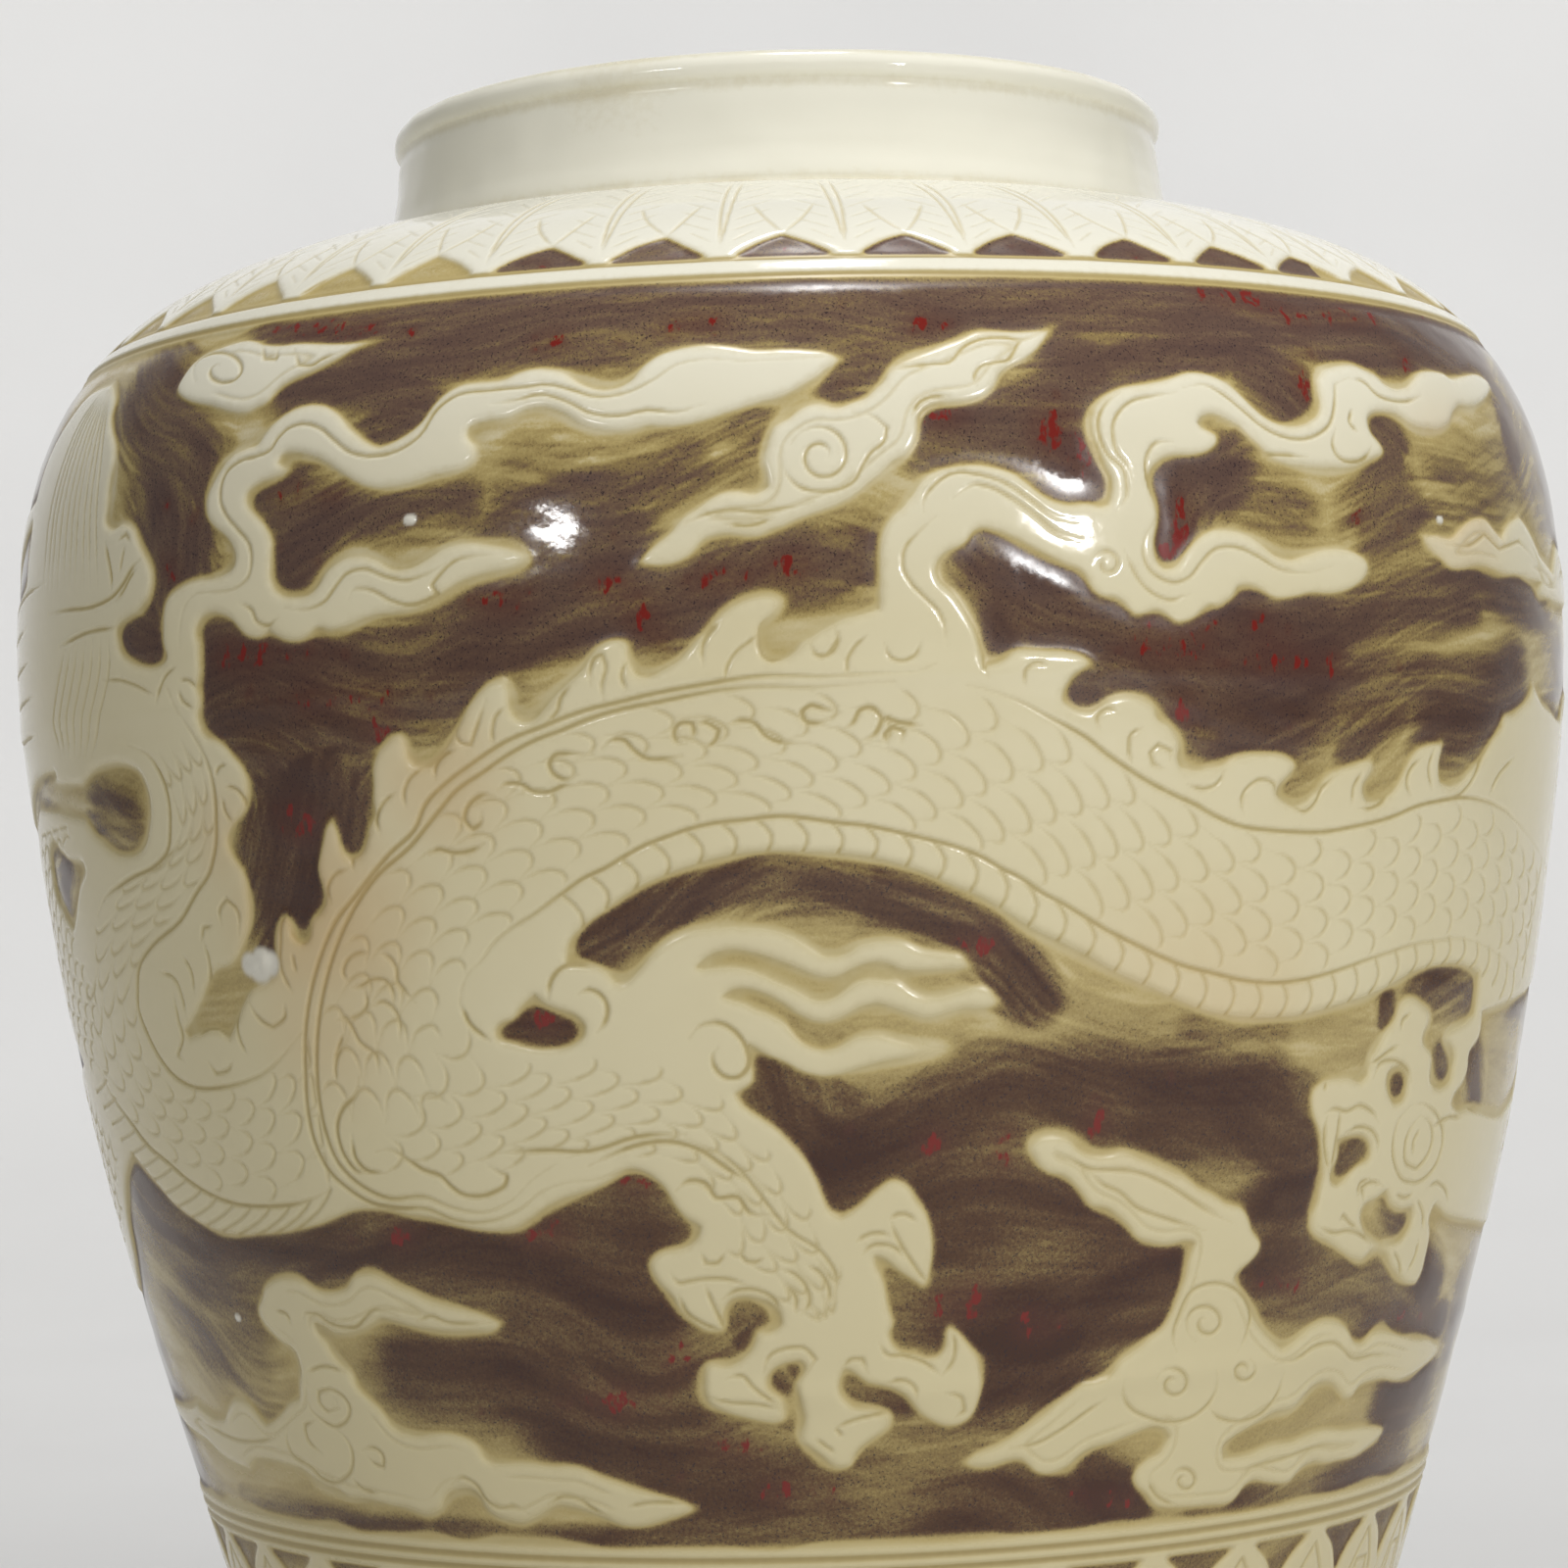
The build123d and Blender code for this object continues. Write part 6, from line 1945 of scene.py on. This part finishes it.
def glazed():
    """Transparent ivory glaze over the carving, its pooled ochre and its brushed ground."""
    n = Nodes("glazed_stoneware")
    cloud = n.noise(14, 4)
    fine = n.noise(420, 4, 0.6)
    above_floor = n.add("SeparateXYZ", {0: n.add("TexCoord").outputs["Object"]}).outputs[2]
    colour = n.mix(n.span(cloud, 0.35, 0.7), CREAM, CREAM_DEEP)
    # Darker towards the bottom of the jar: painted shade
    colour = n.mix(n.span(above_floor, 0.29, 0.12), colour, CREAM_SHADED_LOW)
    # Paler towards the top of the jar: painted light from above
    colour = n.mix(n.span(above_floor, 0.33, 0.425), colour, CREAM_LIT_TOP)
    rough = n.span(n.noise(60, 2), 0.3, 0.7, 0.06, 0.11)
    pooled = n.math("MULTIPLY_ADD", n.math("SUBTRACT", fine, 0.5), 0.25, n.attribute("pool"))
    colour = n.mix(n.span(pooled, 0.05, 0.62), colour, OCHRE_PALE)
    colour = n.mix(n.span(pooled, 0.5, 1.05, 0, 0.85), colour, OCHRE)
    warmth = n.math("MULTIPLY", n.attribute("warm"), n.span(cloud, 0.3, 0.7, 0.25, 0.6))
    colour = n.mix(warmth, colour, ORANGE)
    mottle = n.math("SUBTRACT", n.noise(1300, 4, 0.7), 0.5)
    mottle_share = n.span(n.attribute("pigment"), 0.05, 0.6, 0, 0.75)
    level = n.math("MULTIPLY_ADD", mottle, mottle_share, n.attribute("pigment"))
    for low, high, tone in WASH_STEPS:
        colour = n.mix(n.span(level, low, high), colour, tone)
    veil = n.math("MULTIPLY", n.span(above_floor, 0.25, 0.35, 0, 0.24), n.span(level, 0.3, 0.6))
    colour = n.mix(veil, colour, GREY_VEIL)
    specks = n.math("MULTIPLY", n.span(n.noise(1900, 1), 0.61, 0.69), n.span(level, 0.2, 0.5))
    colour = n.mix(n.math("MULTIPLY", specks, 0.8), colour, BLACK)
    colour = n.mix(n.span(n.attribute("red"), 0.03, 0.30, 0, 0.35), colour, BLOOD_DARK)
    drops = n.math("SUBTRACT", n.noise(1.0, 2, 0.6, stretch=(620, 620, 260)), 0.5)
    drops = n.math("MULTIPLY_ADD", drops, 1.3, n.attribute("red"))
    colour = n.mix(n.span(drops, 0.49, 0.66), colour, BLOOD)
    colour = n.mix(n.attribute("white"), colour, WHITE)
    scorched = n.mix(n.noise(180, 4, 0.7), BUFF, BURNT)
    colour = n.mix(n.attribute("bare"), colour, scorched)
    rough = n.math("MULTIPLY_ADD", n.attribute("bare"), 0.6, rough)
    rough = n.math("ADD", n.span(pooled, 0.02, 0.35, 0, 0.30), rough)
    height = n.math("MULTIPLY_ADD", n.noise(230, 2), 0.35, n.math("MULTIPLY", fine, 0.12))
    return n.finish(colour, rough, height, 0.00035, 0.32, IOR=1.5)


def bare_clay():
    """Buff stoneware, burnt brown where the flame met it, with grit and turning lines."""
    n = Nodes("bare_stoneware")
    flame = n.noise(9, 4, 0.6)
    grit = n.noise(520, 5, 0.75)
    colour = n.mix(n.span(flame, 0.4, 0.62), BUFF, BURNT)
    colour = n.mix(n.span(grit, 0.6, 0.75, 0, 0.6), colour, GRIT)
    turning = n.noise(1.0, 2, 0.5, stretch=(12, 12, 900))
    height = n.math("MULTIPLY_ADD", turning, 0.8, grit)
    return n.finish(colour, n.span(grit, 0.3, 0.7, 0.68, 0.88), height, 0.0006, 0.7)


def slip_glaze():
    """Slip smoothed with a wet finger and covered by the glaze."""
    n = Nodes("luting_slip")
    smear = n.noise(1.0, 3, 0.6, stretch=(30, 30, 420))
    colour = n.mix(n.span(smear, 0.35, 0.65), SLIP_PALE, SLIP_DEEP)
    return n.finish(colour, n.span(smear, 0.3, 0.7, 0.22, 0.4), smear, 0.0004, 0.6)


wall_glaze = glazed()
clay = bare_clay()
slip = slip_glaze()
for piece in wall_pieces + [neck_piece]:
    piece.data.materials.append(wall_glaze)
base_piece.data.materials.append(clay)
for piece in slip_pieces:
    piece.data.materials.append(slip)

# Studio: a pale sweep, two softboxes whose reflections sit where the photograph has them, a top light
SWEEP_HALF_WIDTH = 5.0
SWEEP_FRONT = -4.0
SWEEP_BACK = 2.4
SWEEP_BEND = 1.1
SWEEP_HEIGHT = 4.5
sweep_line = [(SWEEP_FRONT, 0.0), (SWEEP_BACK - SWEEP_BEND, 0.0)]
for step in np.linspace(0, math.pi / 2, 25)[1:]:
    depth = SWEEP_BACK - SWEEP_BEND + SWEEP_BEND * math.sin(step)
    sweep_line.append((depth, SWEEP_BEND - SWEEP_BEND * math.cos(step)))
sweep_line.append((SWEEP_BACK, SWEEP_HEIGHT))
sweep_points = [(side * SWEEP_HALF_WIDTH, y, z) for y, z in sweep_line for side in (-1, 1)]
sweep_faces = [(2 * k, 2 * k + 1, 2 * k + 3, 2 * k + 2) for k in range(len(sweep_line) - 1)]
sweep_mesh = bpy.data.meshes.new("sweep")
sweep_mesh.from_pydata(sweep_points, [], sweep_faces)
sweep_mesh.polygons.foreach_set("use_smooth", [True] * len(sweep_faces))
sweep = bpy.data.objects.new("sweep", sweep_mesh)
bpy.context.scene.collection.objects.link(sweep)
paper = Nodes("paper")
paper_tone = paper.mix(paper.span(paper.noise(3, 2), 0.3, 0.7), PAPER, PAPER_PALE)
sweep_mesh.materials.append(paper.finish(paper_tone, 0.9, paper.noise(300, 2), 0.0002, 0.3))

WORLD_LIGHT = 0.17
world = bpy.data.worlds.new("studio")
world.use_nodes = True
world.node_tree.nodes["Background"].inputs[0].default_value = (1.0, 1.0, 1.0, 1)
world.node_tree.nodes["Background"].inputs[1].default_value = WORLD_LIGHT
bpy.context.scene.world = world


def aimed(place, target):
    """A turn that points -Z from a place at a target."""
    return (Vector(target) - Vector(place)).to_track_quat("-Z", "Y").to_euler()


def softbox(name, place, size, watts, target=(0, 0, 0.3), mirrored=True):
    """An area light, with or without its own reflection in the glaze."""
    light = bpy.data.lights.new(name, "AREA")
    light.shape = "RECTANGLE"
    light.size, light.size_y = size
    light.energy = watts
    lamp = bpy.data.objects.new(name, light)
    lamp.location = place
    lamp.rotation_euler = aimed(place, target)
    lamp.visible_glossy = mirrored
    bpy.context.scene.collection.objects.link(lamp)


def mirror_place(pixel, distance):
    """Where a light must stand for its reflection to show at a pixel of the photograph."""
    spot = seen([pixel])[0]
    run = run_at(spot[1])
    point = on_wall(spot[0], run)
    slope = on_wall(spot[0], run + 2) - on_wall(spot[0], run - 2)
    side = on_wall(spot[0] + 1, run) - on_wall(spot[0] - 1, run)
    normal = np.cross(side, slope)
    normal /= np.linalg.norm(normal)
    view = np.array(CAMERA_PLACE) - point
    view /= np.linalg.norm(view)
    way = 2 * (normal @ view) * normal - view
    return tuple(point * MM + way * distance)


# Each light's place, size in metres and watts; the first three are set by where they are reflected
softbox("left_softbox", mirror_place((562, 543), 1.9), (0.17, 0.05), 2.4)
softbox("right_softbox", mirror_place((1083, 532), 1.9), (0.26, 0.14), 12)
softbox("top_light", mirror_place((843, 268), 1.6), (0.22, 0.14), 10)
softbox("front_fill", (0.3, -1.3, 2.3), (2.6, 1.6), 28, mirrored=False)
softbox("back_left", (-1.3, 0.9, 1.7), (1.2, 1.2), 17, target=(-0.9, 2.4, 1.0))
softbox("back_right", (1.3, 0.9, 1.7), (1.2, 1.2), 17, target=(0.9, 2.4, 1.0))

camera_data = bpy.data.cameras.new("camera")
camera_data.lens = LENS
camera_data.sensor_width = SENSOR
camera = bpy.data.objects.new("camera", camera_data)
looking = Matrix.Rotation(math.pi / 2 + CAMERA_PITCH, 3, "X")
rolled = looking @ Matrix.Rotation(-CAMERA_ROLL, 3, "Z")
camera.matrix_world = Matrix.Translation(Vector(CAMERA_PLACE) * MM) @ rolled.to_4x4()
bpy.context.scene.collection.objects.link(camera)
bpy.context.scene.camera = camera
bpy.context.scene.view_settings.view_transform = "Standard"
